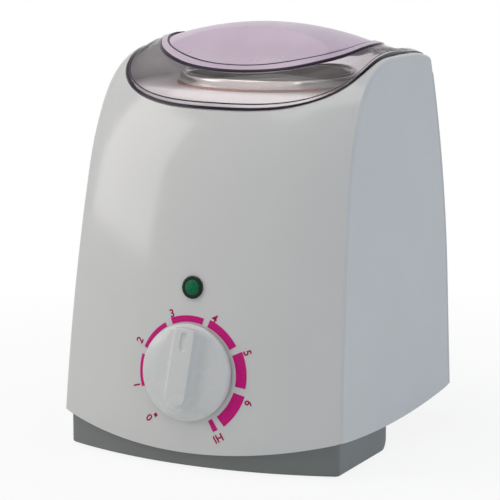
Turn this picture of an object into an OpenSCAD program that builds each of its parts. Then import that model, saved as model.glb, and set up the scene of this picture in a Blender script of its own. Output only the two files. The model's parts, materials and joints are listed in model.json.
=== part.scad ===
// Table-top wax warmer: white shell, grey base, clear lid, lift-out metal pot and a front dial.
// Millimetres, X to the right, Y to the back, Z up from the floor.

/* [Shell] */
// Width across the lower corners
shell_w = 152; // [140:1:170]
// Width across the top of the two horns
shell_top_w = 138; // [130:1:146]
// Depth between the front and rear corners, low down
shell_d = 135; // [128:1:150]
// Height of the horns above the floor
shell_h = 193.8; // [188:0.2:204]
// Wall thickness of the shell
wall = 2.5; // [2:0.1:3]
// How far the front bows out of its corners
front_bow = 15; // [12:0.2:20]
// How far the back bows out of its corners
back_bow = 8; // [4:0.5:12]
// Drop of the back cover's upper corners below the horns
cover_drop = 12; // [11:0.5:16]
// Height of the shell's lower corners
corner_z = 18.2; // [16:0.2:22]
// Height of the lower edge in the middle of the front and back
front_edge_z = 8.3; // [6:0.1:12]
// Height of the lower edge in the middle of each side
side_edge_z = 14.7; // [13:0.1:16]

/* [Front and back curves] */
// Lean of the front at its lower corners, in degrees
front_lean_low = 4.2; // [2:0.1:6]
// Lean of the front where its long curve ends
front_lean_mid = 13.3; // [11:0.1:16]
// Lean of the front where its shoulder begins
front_lean_high = 31; // [26:0.5:36]
// Radius between the long curve and the shoulder
front_blend_r = 115; // [100:1:130]
// Radius of the shoulder
shoulder_r = 43; // [38:1:48]
// Height to which the back stands upright
back_straight_z = 75; // [60:1:90]
// Lean of the back where it turns into the top
back_lean = 15.5; // [12:0.5:18]
// Radius of the rear top corner
back_corner_r = 7; // [5:0.5:10]

/* [Lid] */
// Drop of the seam below the horns, in the middle of the front
lid_drop = 23.5; // [20:0.1:28]
// Thickness of the shell's horns beside the lid
horn_t = 3; // [2.5:0.1:4]
// Thickness of the clear lid
lid_t = 2.2; // [1.8:0.1:2.8]
// Gap between the lid and the shell
lid_gap = 0.4; // [0.3:0.05:0.6]
// Height of the lid's dome above the horns
dome_rise = 13.4; // [11:0.2:15]
// Radius of the dome from front to back
dome_side_r = 60; // [57:0.5:63]
// Distance of the handle's middle behind the front corners
handle_back = 78; // [77:0.5:79]
// Half the length of the oval handle
handle_a = 53.5; // [50:0.5:56]
// Half the width of the oval handle
handle_b = 42; // [39:0.5:43]
// Height of the handle over the lid
handle_up = 0.8; // [0.6:0.1:1.2]
// Half the width of the crest in its middle
crest_half_w = 13; // [10:0.5:15]
// Radius of the two finger scoops
scoop_r = 50; // [44:1:60]
// Thickness of the handle
handle_t = 2; // [1.6:0.1:2.4]
// Width of the lid's raised collar round the handle
collar_w = 3; // [2:0.1:3.5]
// Height of the collar
collar_h = 0.6; // [0.4:0.1:0.8]
// Reach of the handle's snap tabs under the lid
tab_out = 1.5; // [1:0.1:2]
// Width of a snap tab
tab_w = 8; // [6:0.5:10]
// Thickness of a snap tab
tab_t = 1.2; // [1:0.1:1.5]

/* [Pot and chamber] */
// Distance of the pot's axis behind the front corners
pot_back = 76; // [75.5:0.5:77]
// Outer radius of the pot
pot_r = 42; // [38:0.5:42.5]
// Wall of the pot
pot_wall = 1.2; // [1:0.1:1.6]
// Depth of the pot under the deck
pot_depth = 91; // [80:1:96]
// Height of the pot's rolled rim over the deck
rim_h = 6; // [4.5:0.5:6]
// Width of the pot's rolled rim
rim_w = 3; // [2.6:0.1:3.4]
// Drop of the deck that the rim rests on, below the horns
deck_drop = 15.8; // [15.4:0.2:19]
// Thickness of the deck
deck_t = 3; // [2.4:0.1:3.6]
// Gap between the pot and the deck's hole
pot_gap = 0.9; // [0.6:0.1:1.2]
// Wall of the heating chamber
chamber_wall = 1.5; // [1.2:0.1:2]
// Gap between the pot and the chamber wall
chamber_gap = 1.5; // [1.2:0.1:2]
// Gap between the pot's floor and the chamber's floor
chamber_floor_gap = 4; // [3:0.5:6]
// Height of the sealing ring between deck and chamber
gasket_h = 8; // [6:0.5:10]
// Width of the sealing ring
gasket_w = 4.5; // [4:0.1:5]
// Thickness of the heater band
heater_t = 2.4; // [2:0.1:3]
// Height of the heater band
heater_h = 40; // [30:1:50]
// Thickness of the insulating sleeve
sleeve_t = 5; // [4:0.5:6]
// Distance of the insulating sleeve below the chamber's flange
sleeve_clear = 8.5; // [6:0.5:14]

/* [Dial and lamp] */
// Height of the dial's centre
dial_z = 47.5; // [45:0.5:50]
// Radius of the knob
knob_r = 23.5; // [20:0.5:25]
// Height of the knob's disc
knob_h = 5; // [4.5:0.5:6]
// Height of the knob's grip bar
grip_h = 10; // [9:0.5:13]
// Width of the grip bar
grip_w = 10.5; // [9.5:0.5:12]
// Distance of the grip bar's round lower end from the axis
grip_low = 16; // [14:0.5:18]
// Gap between the knob and the front
knob_gap = 0.8; // [0.6:0.1:1.2]
// Turn of the knob from upright, clockwise, in degrees
knob_turn = 7; // [0:1:20]
// Radius of the spindle
spindle_r = 3; // [2.5:0.1:3.5]
// Running clearance round the spindle
spindle_play = 0.05; // [0.02:0.01:0.1]
// Height of the pilot lamp
lamp_z = 87.9; // [84:0.1:94]
// Radius of the lamp's lens
lamp_r = 5.5; // [4.5:0.1:6.5]

/* [Base] */
// Inset of the base under the shell
base_inset = 2.8; // [2.6:0.1:3.5]
// Wall of the base
base_wall = 2.5; // [2:0.1:3]
// Thickness of the base's floor
base_floor = 3; // [2.5:0.1:3.5]
// Length of the full-width part of the base, back from the front corners
foot_len = 59; // [54:1:66]
// Half the width of the base's narrow tail
tail_half_w = 36; // [32:1:44]
// Radius of the foot's lower rear edge
foot_edge_r = 6; // [4:0.5:8]
// Thickness of the base's flange
flange_t = 3; // [2.5:0.1:3.5]
// Radius of a rubber foot
pad_r = 7; // [6:0.5:8]
// How far a rubber foot stands out of the base
pad_out = 1; // [0.8:0.1:1.5]
// Depth of a rubber foot's recess
pad_recess = 1.2; // [1:0.1:1.5]

/* [Cord inlet] */
// Bore of the cord gland
gland_bore_r = 3.75; // [3:0.05:4.5]
// Height of the gland
gland_z = 32; // [28:1:36]
// Length of the gland outside the shell
gland_out = 4; // [3:0.5:6]
// Length of the gland inside the shell
gland_in = 5; // [4:0.5:7]

/* [Fasteners] */
// Radius of a screw's shank
screw_r = 1.5; // [1.3:0.1:1.7]
// Radius of a screw's head
screw_head_r = 2.8; // [2.4:0.1:3]
// Height of a screw's head
screw_head_h = 2; // [1.6:0.1:2.2]
// Radius of a screw boss
boss_r = 4; // [3.5:0.1:4.5]

/* [Hidden] */
$fn = 96;

// Small gaps between fixed pieces, and how far a cutting shape runs past a face
fit = 0.1;
past = 1;
big = 700;

// Colours
white = [0.93, 0.93, 0.92];
grey = [0.44, 0.46, 0.45];
clear = [0.85, 0.87, 0.9, 0.35];
lilac = [0.8, 0.72, 0.82];
steel = [0.75, 0.76, 0.77];
brass = [0.8, 0.66, 0.35];
copper = [0.72, 0.45, 0.3];
black = [0.12, 0.12, 0.13];
green = [0.02, 0.45, 0.2];
felt = [0.86, 0.84, 0.78];
phenolic = [0.25, 0.2, 0.16];
neon = [1, 0.6, 0.4, 0.6];
ivory = [0.9, 0.89, 0.84];

// The part's origin lies this far behind the front corners
origin_back = 61.5;
front_y = -origin_back;
handle_y = front_y + handle_back;
back_y = front_y + shell_d;
mid_y = (front_y + back_y) / 2;
pot_y = front_y + pot_back;
half_low = shell_w / 2;
half_top = shell_top_w / 2;

// Radius of a bow of half chord h and rise s, and rise of a bow of half chord h and radius r
function bow_r(h, s) = (h * h + s * s) / (2 * s);
function bow_drop(h, r) = r - sqrt(r * r - h * h);
// Outward direction of a profile that leans by t degrees
function out_dir(t) = [cos(t), sin(t)];
// Points of an arc about c from lean t0 to lean t1, in n steps
function arc(c, r, t0, t1, n) = [for (i = [0 : n]) c + r * out_dir(t0 + (t1 - t0) * i / n)];
// The same arc without its first point, for joining onto another
function arc_on(c, r, t0, t1, n) = [for (i = [1 : n]) c + r * out_dir(t0 + (t1 - t0) * i / n)];

// Front: a plan arc and three profile arcs, from the lower corners up to the flat top
front_R = bow_r(half_low, front_bow);
front_axis_y = front_y - front_bow + front_R;
shoulder_z = shell_h - shoulder_r * (1 - sin(front_lean_high));
blend_z = shoulder_z - front_blend_r * (sin(front_lean_high) - sin(front_lean_mid));
front_long_r = (blend_z - corner_z) / (sin(front_lean_mid) - sin(front_lean_low));
front_c1 = [front_R, corner_z] - front_long_r * out_dir(front_lean_low);
front_c2 = front_c1 + (front_long_r - front_blend_r) * out_dir(front_lean_mid);
front_c3 = front_c2 + (front_blend_r - shoulder_r) * out_dir(front_lean_high);
function front_lean(z) = asin(sin(front_lean_low) + (z - corner_z) / front_long_r);
function front_at(z) = front_axis_y - front_c1[0] - front_long_r * cos(front_lean(z));
function front_profile(o) = concat(
    [[0, -past], [front_R - o * cos(front_lean_low), -past]],
    arc(front_c1, front_long_r - o, front_lean_low, front_lean_mid, 5),
    arc_on(front_c2, front_blend_r - o, front_lean_mid, front_lean_high, 6),
    arc_on(front_c3, shoulder_r - o, front_lean_high, 90, 10),
    [[0, shell_h - o]]);

// Back: upright, then a long curve, a tight corner and a nearly flat top
back_top_r = 75;
back_top_lean = 73;
back_end_lean = 88;
back_drop = 8.5;
back_R = bow_r(half_low, back_bow);
back_axis_y = back_y + back_bow - back_R;
back_long_r = (shell_h - back_drop - back_straight_z) / sin(back_lean);
back_c1 = [back_R - back_long_r, back_straight_z];
back_c2 = back_c1 + (back_long_r - back_corner_r) * out_dir(back_lean);
back_c3 = back_c2 + (back_corner_r - back_top_r) * out_dir(back_top_lean);
function back_end(o) = back_c3 + (back_top_r - o) * out_dir(back_end_lean);
function back_profile(o) = concat(
    [[0, -past], [back_R - o, -past]],
    arc(back_c1, back_long_r - o, 0, back_lean, 5),
    arc_on(back_c2, back_corner_r - min(o, back_corner_r - past), back_lean, back_top_lean, 6),
    arc_on(back_c3, back_top_r - o, back_top_lean, back_end_lean, 3),
    [[0, back_end(o)[1] + back_end(o)[0] / tan(back_end_lean)]]);

// Half width of the sides at height z
side_slope = (half_low - half_top) / (shell_h - corner_z);
function side_at(z) = half_low - max(0, z - corner_z) * side_slope;

// The seam between lid and shell, seen from the front, raised by g
seam_z = shell_h - lid_drop;
seam_steps = 28;
seam_power = 3;
seam_half = half_top - horn_t;
function seam_rise(t) = 1 - sqrt(1 - pow(abs(t), seam_power));
function seam_point(a, g) = [(seam_half - g) * sin(a), seam_z + g + (shell_h - seam_z) * seam_rise(sin(a))];
function seam_line(g) = [for (i = [0 : seam_steps]) seam_point(180 * i / seam_steps - 90, g)];

// Neck of the shell under the lid
neck_inset = lid_t + lid_gap;
neck_len = 14;
neck_z = seam_z - neck_len;

// Pot and heating chamber
deck_z = shell_h - deck_drop;
pot_floor_z = deck_z - pot_depth;
rim_r = pot_r + rim_w;
deck_hole_r = pot_r + pot_gap;
deck_low_z = deck_z - deck_t;
chamber_r = pot_r + chamber_gap;
chamber_out_r = chamber_r + chamber_wall;
chamber_top_z = deck_low_z - gasket_h;
chamber_floor_z = pot_floor_z - chamber_floor_gap;
chamber_low_z = chamber_floor_z - chamber_wall;
ear_r = chamber_out_r + gasket_w + boss_r + past;
ear_angles = [45, 135, 225, 315];
heater_r = chamber_out_r + fit;
heater_out_r = heater_r + heater_t;
heater_lift = 8;
heater_z = chamber_floor_z + heater_lift;
sleeve_lift = 4;
sleeve_r = heater_out_r + fit;
sleeve_z = chamber_floor_z + sleeve_lift;
sleeve_h = chamber_top_z - chamber_wall - sleeve_clear - sleeve_z;
sleeve_slot = 24;
lug_t = 2;
lug_gap = 6;
lug_len = 9;
lug_h = 14;
lug_nut_h = 2.4;
lug_out = lug_gap / 2 + lug_t;
lug_z = heater_z + heater_h / 2;
lug_screw_in = 4;
lug_screw_y = pot_y + heater_out_r + lug_len - lug_screw_in;

// Dial: local Z points out of the front, local Y up along it
dial_y = front_at(dial_z);
dial_lean = front_lean(dial_z);
lamp_y = front_at(lamp_z);
lamp_lean = front_lean(lamp_z);
knob_edge_r = 1.2;
knob_wall = 2;
grip_end = 1.5;
grip_r = knob_r - grip_end;
grip_round = 0.8;
mark_w = 3.4;
mark_len = 9;
mark_end = 1.8;
mark_from = grip_r - mark_end - mark_len;
mark_depth = 0.8;
hub_wall = 2.6;
hub_r = spindle_r + hub_wall;
bracket_t = 1.5;
bracket_z = -9;
bracket_w = 50;
bracket_h = 22;
bracket_screw_x = 20;
body_w = 32;
body_h = 30;
body_t = 22;
bushing_wall = 2;
bushing_r = spindle_r + bushing_wall;
bushing_gap = 0.5;
nut_t = 3;
nut_wall = 2.5;
nut_r = bushing_r + nut_wall;
spindle_depth = 13.2;
spindle_in = bracket_z - bracket_t - spindle_depth;
spindle_cover = 4;
spindle_out = grip_h - spindle_cover;
flat_depth = 1;

// Lamp: a lens pushed through the front and held by a ring behind it
lens_rise = 2.6;
lens_lip = 0.8;
lens_seat = 1.5;
lens_stem_r = lamp_r - lens_seat;
lens_wall = 1;
lens_stem_len = 10;
bulb_gap = 0.4;
bulb_r = lens_stem_r - lens_wall - bulb_gap;
bulb_in = 3;
bulb_out = 6;
lamp_ring_t = 1.2;
lamp_ring_w = 3.5;
lamp_ring_gap = 0.3;
lamp_ring_z = -wall - lamp_ring_gap;
holder_len = 7;
holder_wall = 1.2;

// Base and its fasteners
base_z = pad_out;
base_floor_z = base_z + base_floor;
flange_drop = 1.2;
flange_z = corner_z - flange_drop;
base_top_z = flange_z + flange_t;
foot_y = front_y + foot_len;
tail_short = 7;
tail_y = back_y - tail_short;
pillar_in = 18;
pillar_end = 14;
pillar_h = 28;
pillar_x = half_low - pillar_in;
pillar_front_y = front_y + pillar_end;
pillar_back_y = back_y - pillar_end;
pillar_top_z = base_top_z + pillar_h;
pillar_places = [for (x = [-pillar_x, pillar_x], y = [pillar_front_y, pillar_back_y]) [x, y]];
screw_len = 12;
cross_part = 0.6;
cross_w = 0.8;
screw_bite = 0.2;
screw_play = 0.2;
head_play = 0.6;
pilot_r = screw_r - screw_bite;
hole_r = screw_r + screw_play;
counterbore_r = screw_head_r + head_play;
sump_wall = 1.6;
pad_front_in = 30;
pad_front_end = 5;
pad_back_in = 10;
pad_back_end = 12;
pad_front_x = half_low - pad_front_in;
pad_front_y = front_y + pad_front_end;
pad_back_x = tail_half_w - pad_back_in;
pad_back_y = tail_y - pad_back_end;
pad_places = concat(
    [for (x = [-pad_front_x, pad_front_x]) [x, pad_front_y]],
    [for (x = [-pad_back_x, pad_back_x]) [x, pad_back_y]]);

// Pieces under the chamber and on the base's floor
sensor_r = 3;
sensor_len = 46;
rod_side = 16;
sensor_y = pot_y - rod_side;
fuse_r = 2.4;
fuse_len = 22;
fuse_y = pot_y + rod_side;
lead_len = 7;
lead_r = 0.6;
clip_t = 0.8;
clip_w = 8;
clip_ear = 6;
block_w = 30;
block_d = 18;
block_h = 14;
block_behind = 22;
block_y = pot_y + block_behind;
block_ways = 3;
block_screw_r = 2;
block_screw_h = 3.5;
block_slot_w = 0.7;
block_well = 5;
block_wire_r = 1.6;
block_wire_z = 5.5;
function way_x(i) = (i - (block_ways - 1) / 2) * block_w / block_ways;
clamp_end = 8;
clamp_y = tail_y - clamp_end;
clamp_w = 30;
clamp_d = 8;
clamp_h = 5;
clamp_gap = 0.3;
clamp_screw_x = 10;
saddle_h = 5;
clamp_z = base_floor_z + saddle_h + clamp_gap;

// Cord gland in the back
gland_y = back_y + back_bow;
gland_wall = 3;
gland_lip = 2.5;
gland_neck_r = gland_bore_r + gland_wall;
gland_flange_r = gland_neck_r + gland_lip;

// Thin tube from the thermostat to its sensor, its middle points chosen by hand
capillary_r = 0.9;
capillary_sides = 8;
sensor_z = chamber_low_z - fit - sensor_r;
capillary_behind = 32;
capillary_under = 0.5;
capillary_lead = [[4, 0, 0], [8, -1, -1], [11, -5, -5], [11, -10, -12]];
capillary_rise = [[14, 18.5, 15.5], [8, 10.5, 7.5], [4, 4.5, 2.5], [2.5, 0, 0]];
capillary_start = [sensor_len / 2, sensor_y, sensor_z];
capillary_end = [body_w / 2, dial_y + capillary_behind, dial_z - capillary_under];
capillary_route = concat(
    [capillary_start], [for (v = capillary_lead) capillary_start + v],
    [for (v = capillary_rise) capillary_end + v], [capillary_end]);

// Plan or front outlines drawn along the other axes
module along_y(len) rotate([90, 0, 0]) linear_extrude(len, center = true) children();
module along_x(len) rotate([90, 0, 90]) linear_extrude(len, center = true) children();
module slab(z0, z1) translate([-big / 2, -big / 2, z0]) cube([big, big, z1 - z0]);
module ring(r_out, r_in, h) difference() {
    cylinder(r = r_out, h = h);
    translate([0, 0, -past]) cylinder(r = r_in, h = h + 2 * past);
}
module at_pot() translate([0, pot_y, 0]) children();
module at_dial() translate([0, dial_y, dial_z]) rotate([90 - dial_lean, 0, 0]) children();
module at_lamp() translate([0, lamp_y, lamp_z]) rotate([90 - lamp_lean, 0, 0]) children();

// Everything in front of the back, drawn in by o
module back_form(o) translate([0, back_axis_y, 0]) rotate_extrude($fn = 360) polygon(back_profile(o));

// The whole outer form of shell and lid, drawn in by o
module skin(o) intersection() {
    translate([0, front_axis_y, 0]) rotate_extrude($fn = 360) polygon(front_profile(o));
    back_form(o);
    along_y(big) polygon([
        [-half_low + o, -past], [half_low - o, -past], [half_low - o, corner_z],
        [side_at(shell_h + past) - o, shell_h + past], [o - side_at(shell_h + past), shell_h + past],
        [-half_low + o, corner_z]]);
}

// Everything over the seam, raised by g
module over_seam(g) along_y(big) polygon(concat(
    seam_line(g), [[seam_half - g, shell_h + big / 4], [g - seam_half, shell_h + big / 4]]));

// Everything under the lower edge, which bows down in the middle of each face
edge_steps = 16;
function bow_line(half, rise, low) = let (r = bow_r(half, rise), reach = half + front_bow + past)
    [for (i = [0 : edge_steps]) let (x = reach * (2 * i / edge_steps - 1)) [x, low + bow_drop(x, r)]];
module under_bow(half, low) polygon(concat(
    [[-half - front_bow - past, -2 * past]],
    bow_line(half, corner_z - low, low),
    [[half + front_bow + past, -2 * past]]));
module under_edge() intersection() {
    along_y(big) under_bow(half_low, front_edge_z);
    translate([0, mid_y, 0]) along_x(big) under_bow(shell_d / 2, side_edge_z);
}

// A pan-head screw with its head's seat at z = 0 and its shank up
module screw(len, r = screw_r, head_r = screw_head_r, head_h = screw_head_h) {
    cylinder(r = r, h = len);
    translate([0, 0, -head_h]) difference() {
        cylinder(r = head_r, h = head_h);
        for (turn = [0, 90]) rotate(turn) translate([-head_r * cross_part, -cross_w / 2, -past])
            cube([2 * head_r * cross_part, cross_w, past + head_h / 2]);
    }
}

module pillar(p) {
    translate([p[0], p[1], base_top_z]) cylinder(r = boss_r, h = pillar_top_z - base_top_z);
    intersection() {
        skin(wall / 2);
        translate([p[0] > 0 ? p[0] : p[0] - big / 4, p[1] - wall / 2, base_top_z])
            cube([big / 4, wall, pillar_top_z - base_top_z]);
    }
}

// The space that the back cover takes up, grown by g
module cover_zone(g) difference() {
    slab(-2 * past, shell_h - cover_drop + g);
    back_form(wall + g);
}

// Front, sides and horns in one moulding, open at the back, below and under the lid
module outer_shell() color(white) difference() {
    union() {
        difference() {
            skin(0);
            skin(wall);
            under_edge();
            over_seam(0);
            cover_zone(fit);
        }
        for (p = pillar_places) pillar(p);
        at_dial() for (x = [-bracket_screw_x, bracket_screw_x]) translate([x, 0, bracket_z])
            cylinder(r = boss_r, h = -wall - bracket_z);
    }
    for (p = pillar_places) translate([p[0], p[1], base_top_z - past])
        cylinder(r = pilot_r, h = screw_len + past);
    at_dial() {
        translate([0, 0, -big / 20]) cylinder(r = bushing_r + bushing_gap, h = big / 10);
        for (x = [-bracket_screw_x, bracket_screw_x]) translate([x, 0, bracket_z - past])
            cylinder(r = pilot_r, h = -wall - bracket_z);
    }
    at_lamp() translate([0, 0, -2 * wall]) cylinder(r = lens_stem_r + fit, h = 4 * wall);
}

// The rear wall, set between the sides
module back_cover() color(white) difference() {
    intersection() {
        skin(0);
        cover_zone(0);
    }
    under_edge();
    over_seam(0);
    translate([0, gland_y, gland_z]) rotate([90, 0, 0])
        cylinder(r = gland_neck_r + fit, h = 8 * wall, center = true);
}

// The deck round the pot, with its neck inside the shell and the bosses for the chamber
module deck_ring() color(white) difference() {
    union() {
        difference() {
            intersection() {
                skin(neck_inset);
                slab(neck_z, deck_z);
            }
            intersection() {
                skin(neck_inset + wall);
                slab(neck_z - past, deck_low_z);
            }
        }
        at_pot() for (a = ear_angles) rotate(a) translate([ear_r, 0, chamber_top_z])
            cylinder(r = boss_r, h = gasket_h + deck_t / 2);
    }
    at_pot() translate([0, 0, deck_low_z - past]) cylinder(r = deck_hole_r, h = deck_t + 2 * past);
    at_pot() for (a = ear_angles) rotate(a) translate([ear_r, 0, chamber_top_z - past])
        cylinder(r = pilot_r, h = gasket_h + past);
}

module tail_block(inset, z0, z1) translate([-tail_half_w + inset, foot_y - 2 * base_wall, z0])
    cube([2 * (tail_half_w - inset), tail_y - inset - foot_y + 2 * base_wall, z1 - z0]);

// Side outline of the full-width foot, with its rounded lower rear edge
module foot_outline(inset, z0, z1) let (len = big / 4 + foot_len - inset) along_x(big) union() {
    translate([front_y - big / 4, z0 + foot_edge_r]) square([len, z1 - z0 - foot_edge_r]);
    translate([front_y - big / 4, z0]) square([len - foot_edge_r, foot_edge_r + past]);
    translate([foot_y - inset - foot_edge_r, z0 + foot_edge_r]) circle(r = foot_edge_r);
}

module base_tray() color(grey) difference() {
    union() {
        difference() {
            union() {
                intersection() {
                    skin(base_inset);
                    foot_outline(0, base_z, base_top_z);
                }
                tail_block(0, base_z, base_top_z);
                intersection() {
                    skin(base_inset);
                    slab(flange_z, base_top_z);
                }
            }
            intersection() {
                skin(base_inset + base_wall);
                foot_outline(base_wall, base_floor_z, base_top_z + past);
            }
            tail_block(base_wall, base_floor_z, base_top_z + past);
        }
        for (x = [-pillar_x, pillar_x]) translate([x, pillar_front_y, base_z])
            cylinder(r = counterbore_r + sump_wall, h = base_top_z - base_z);
        translate([-clamp_w / 2, clamp_y - clamp_d / 2, base_floor_z - past])
            cube([clamp_w, clamp_d, saddle_h + past]);
    }
    for (p = pillar_places) translate([p[0], p[1], 0]) {
        cylinder(r = hole_r, h = base_top_z + past);
        cylinder(r = counterbore_r, h = flange_z);
    }
    for (p = pad_places) translate([p[0], p[1], 0]) cylinder(r = pad_r + fit, h = base_z + pad_recess);
    translate([0, clamp_y, base_floor_z + saddle_h]) rotate([90, 0, 0])
        cylinder(r = gland_bore_r - fit, h = clamp_d + 2 * past, center = true);
    for (x = [-clamp_screw_x, clamp_screw_x]) translate([x, clamp_y, base_floor_z - past])
        cylinder(r = pilot_r, h = saddle_h + 2 * past);
}

module rubber_feet() color(black) for (p = pad_places) translate([p[0], p[1], 0])
    cylinder(r = pad_r, h = base_z + pad_recess);

module base_screws() color(steel) for (p = pillar_places) translate([p[0], p[1], flange_z])
    screw(flange_t + screw_len - past);

// Oval plan of the handle, grown by g
module oval(g) polygon([for (a = [0 : 7.5 : 352.5]) [(handle_a + g) * cos(a), (handle_b + g) * sin(a)]]);
module oval_prism(g) translate([0, handle_y, seam_z]) linear_extrude(big / 8) oval(g);

// The lid's dome bows along X and, more tightly, from front to back
dome_r = bow_r(seam_half, dome_rise);
dome_z = shell_h + dome_rise;
dome_turn = 50;
dome_step = 5;
function dome_point(a, o) = [dome_r - dome_side_r, 0] + (dome_side_r - o) * out_dir(a);
module lid_dome(o) translate([0, handle_y, dome_z - dome_r]) rotate([90, 0, 0])
    rotate_extrude($fn = 360) polygon(concat(
        [[0, dome_point(-dome_turn, o)[1]]],
        [for (a = [-dome_turn : dome_step : dome_turn]) dome_point(a, o)],
        [[0, dome_point(dome_turn, o)[1]]]));

// The lid's form, drawn in by o
module lid_form(o) {
    skin(o);
    lid_dome(o);
}
module lid_cover() color(clear) difference() {
    intersection() {
        union() {
            lid_form(0);
            intersection() {
                lid_form(-collar_h);
                oval_prism(collar_w);
            }
        }
        over_seam(lid_gap);
    }
    lid_form(lid_t);
    oval_prism(fit);
}

// Each finger scoop is a round trough along X, from the handle's edge to its crest
crest_z = dome_z + handle_up;
function crest_point(half) = [-half, crest_z - bow_drop(half, dome_side_r)];
scoop_low = crest_point(handle_b);
scoop_high = crest_point(crest_half_w);
scoop_chord = norm(scoop_high - scoop_low);
scoop_side = [scoop_low[1] - scoop_high[1], scoop_high[0] - scoop_low[0]] / scoop_chord;
scoop_centre = (scoop_low + scoop_high) / 2 + scoop_side * sqrt(pow(scoop_r, 2) - pow(scoop_chord / 2, 2));
module scoops(o) for (flip = [0, 1]) translate([0, handle_y, 0]) mirror([0, flip, 0])
    translate([0, scoop_centre[0], scoop_centre[1]]) rotate([0, 90, 0])
        cylinder(r = scoop_r + o, h = big, center = true, $fn = 180);

// The handle continues the dome and has a scoop in front and behind
module handle_form(o) difference() {
    intersection() {
        oval_prism(-o);
        lid_dome(o - handle_up);
    }
    scoops(o);
}

// Four snap tabs hold the handle under the lid
tab_angles = [45, 135, 225, 315];
module handle_tabs() for (a = tab_angles) intersection() {
    oval_prism(tab_out);
    lid_form(lid_t + fit);
    translate([handle_a * cos(a), handle_y + handle_b * sin(a), seam_z])
        rotate(atan2(handle_a * sin(a), handle_b * cos(a)))
            translate([-handle_t - tab_out, -tab_w / 2, 0]) cube([2 * (handle_t + tab_out), tab_w, big / 8]);
}
module lid_handle() color(lilac) difference() {
    union() {
        handle_form(0);
        handle_tabs();
    }
    handle_form(handle_t);
    difference() {
        lid_form(lid_t + fit + tab_t);
        scoops(handle_t);
    }
}

module inner_pot() color(steel) at_pot() {
    translate([0, 0, pot_floor_z]) difference() {
        cylinder(r = pot_r, h = pot_depth + rim_h);
        translate([0, 0, pot_wall]) cylinder(r = pot_r - pot_wall, h = pot_depth + rim_h);
    }
    translate([0, 0, deck_z + rim_h - pot_wall]) ring(rim_r, pot_r - pot_wall / 2, pot_wall);
    translate([0, 0, deck_z]) ring(rim_r, rim_r - pot_wall, rim_h);
}

module heating_chamber() color(steel) at_pot() difference() {
    union() {
        translate([0, 0, chamber_low_z]) cylinder(r = chamber_out_r, h = chamber_top_z - chamber_low_z);
        translate([0, 0, chamber_top_z - chamber_wall]) {
            cylinder(r = chamber_out_r + gasket_w, h = chamber_wall);
            for (a = ear_angles) rotate(a) {
                translate([ear_r, 0, 0]) cylinder(r = boss_r + past, h = chamber_wall);
                translate([0, -boss_r - past, 0]) cube([ear_r, 2 * (boss_r + past), chamber_wall]);
            }
        }
    }
    translate([0, 0, chamber_floor_z]) cylinder(r = chamber_r, h = big);
    for (a = ear_angles) rotate(a) translate([ear_r, 0, chamber_top_z - 2 * chamber_wall])
        cylinder(r = hole_r, h = 3 * chamber_wall);
}

module chamber_gasket() color(black) at_pot() translate([0, 0, chamber_top_z])
    ring(chamber_r + gasket_w, chamber_r, gasket_h);

module chamber_screws() color(steel) at_pot() for (a = ear_angles) rotate(a)
    translate([ear_r, 0, chamber_top_z - chamber_wall]) screw(gasket_h - past);

module heater_band() color(brass) difference() {
    union() {
        at_pot() translate([0, 0, heater_z]) ring(heater_out_r, heater_r, heater_h);
        for (x = [-lug_out, lug_gap / 2]) translate([x, pot_y + heater_r, lug_z - lug_h / 2])
            cube([lug_t, heater_t + lug_len, lug_h]);
    }
    translate([-lug_gap / 2, pot_y, heater_z - past]) cube([lug_gap, big / 4, heater_h + 2 * past]);
    at_pot() translate([0, 0, heater_z - past]) cylinder(r = heater_r, h = heater_h + 2 * past);
    translate([0, lug_screw_y, lug_z]) rotate([0, 90, 0]) cylinder(r = hole_r, h = big / 4, center = true);
}

module heater_clamp_screw() color(steel) translate([-lug_out, lug_screw_y, lug_z]) rotate([0, 90, 0]) {
    screw(2 * lug_out + lug_nut_h + past);
    translate([0, 0, 2 * lug_out]) cylinder(r = screw_head_r, h = lug_nut_h, $fn = 6);
}

module insulation_sleeve() color(felt) difference() {
    at_pot() translate([0, 0, sleeve_z]) ring(sleeve_r + sleeve_t, sleeve_r, sleeve_h);
    translate([-sleeve_slot / 2, pot_y, sleeve_z - past]) cube([sleeve_slot, big / 4, sleeve_h + 2 * past]);
}

module thermostat_bracket() color(steel) at_dial() difference() {
    translate([-bracket_w / 2, -bracket_h / 2, bracket_z - bracket_t])
        cube([bracket_w, bracket_h, bracket_t]);
    translate([0, 0, bracket_z - 2 * bracket_t]) cylinder(r = bushing_r + fit, h = 3 * bracket_t);
    for (x = [-bracket_screw_x, bracket_screw_x]) translate([x, 0, bracket_z - 2 * bracket_t])
        cylinder(r = hole_r, h = 3 * bracket_t);
}

module bracket_screws() color(steel) at_dial() for (x = [-bracket_screw_x, bracket_screw_x])
    translate([x, 0, bracket_z - bracket_t]) screw(bracket_t - bracket_z - wall - 2 * past);

module thermostat_body() color(phenolic) at_dial() difference() {
    union() {
        translate([-body_w / 2, -body_h / 2, bracket_z - bracket_t - body_t]) cube([body_w, body_h, body_t]);
        translate([0, 0, bracket_z - bracket_t - past])
            cylinder(r = bushing_r, h = bracket_t + nut_t + 2 * past);
    }
    translate([0, 0, spindle_in - past]) cylinder(r = spindle_r + spindle_play, h = big / 4);
}

module thermostat_nut() color(brass) at_dial() translate([0, 0, bracket_z]) difference() {
    cylinder(r = nut_r, h = nut_t, $fn = 6);
    translate([0, 0, -past]) cylinder(r = bushing_r + fit, h = nut_t + 2 * past);
}

module spindle_form(g) difference() {
    translate([0, 0, spindle_in]) cylinder(r = spindle_r + g, h = spindle_out - spindle_in + g);
    rotate(-knob_turn) translate([-big / 8, spindle_r - flat_depth + g, knob_gap])
        cube([big / 4, big / 4, big / 4]);
}
module thermostat_spindle() color(brass) at_dial() spindle_form(0);

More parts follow.
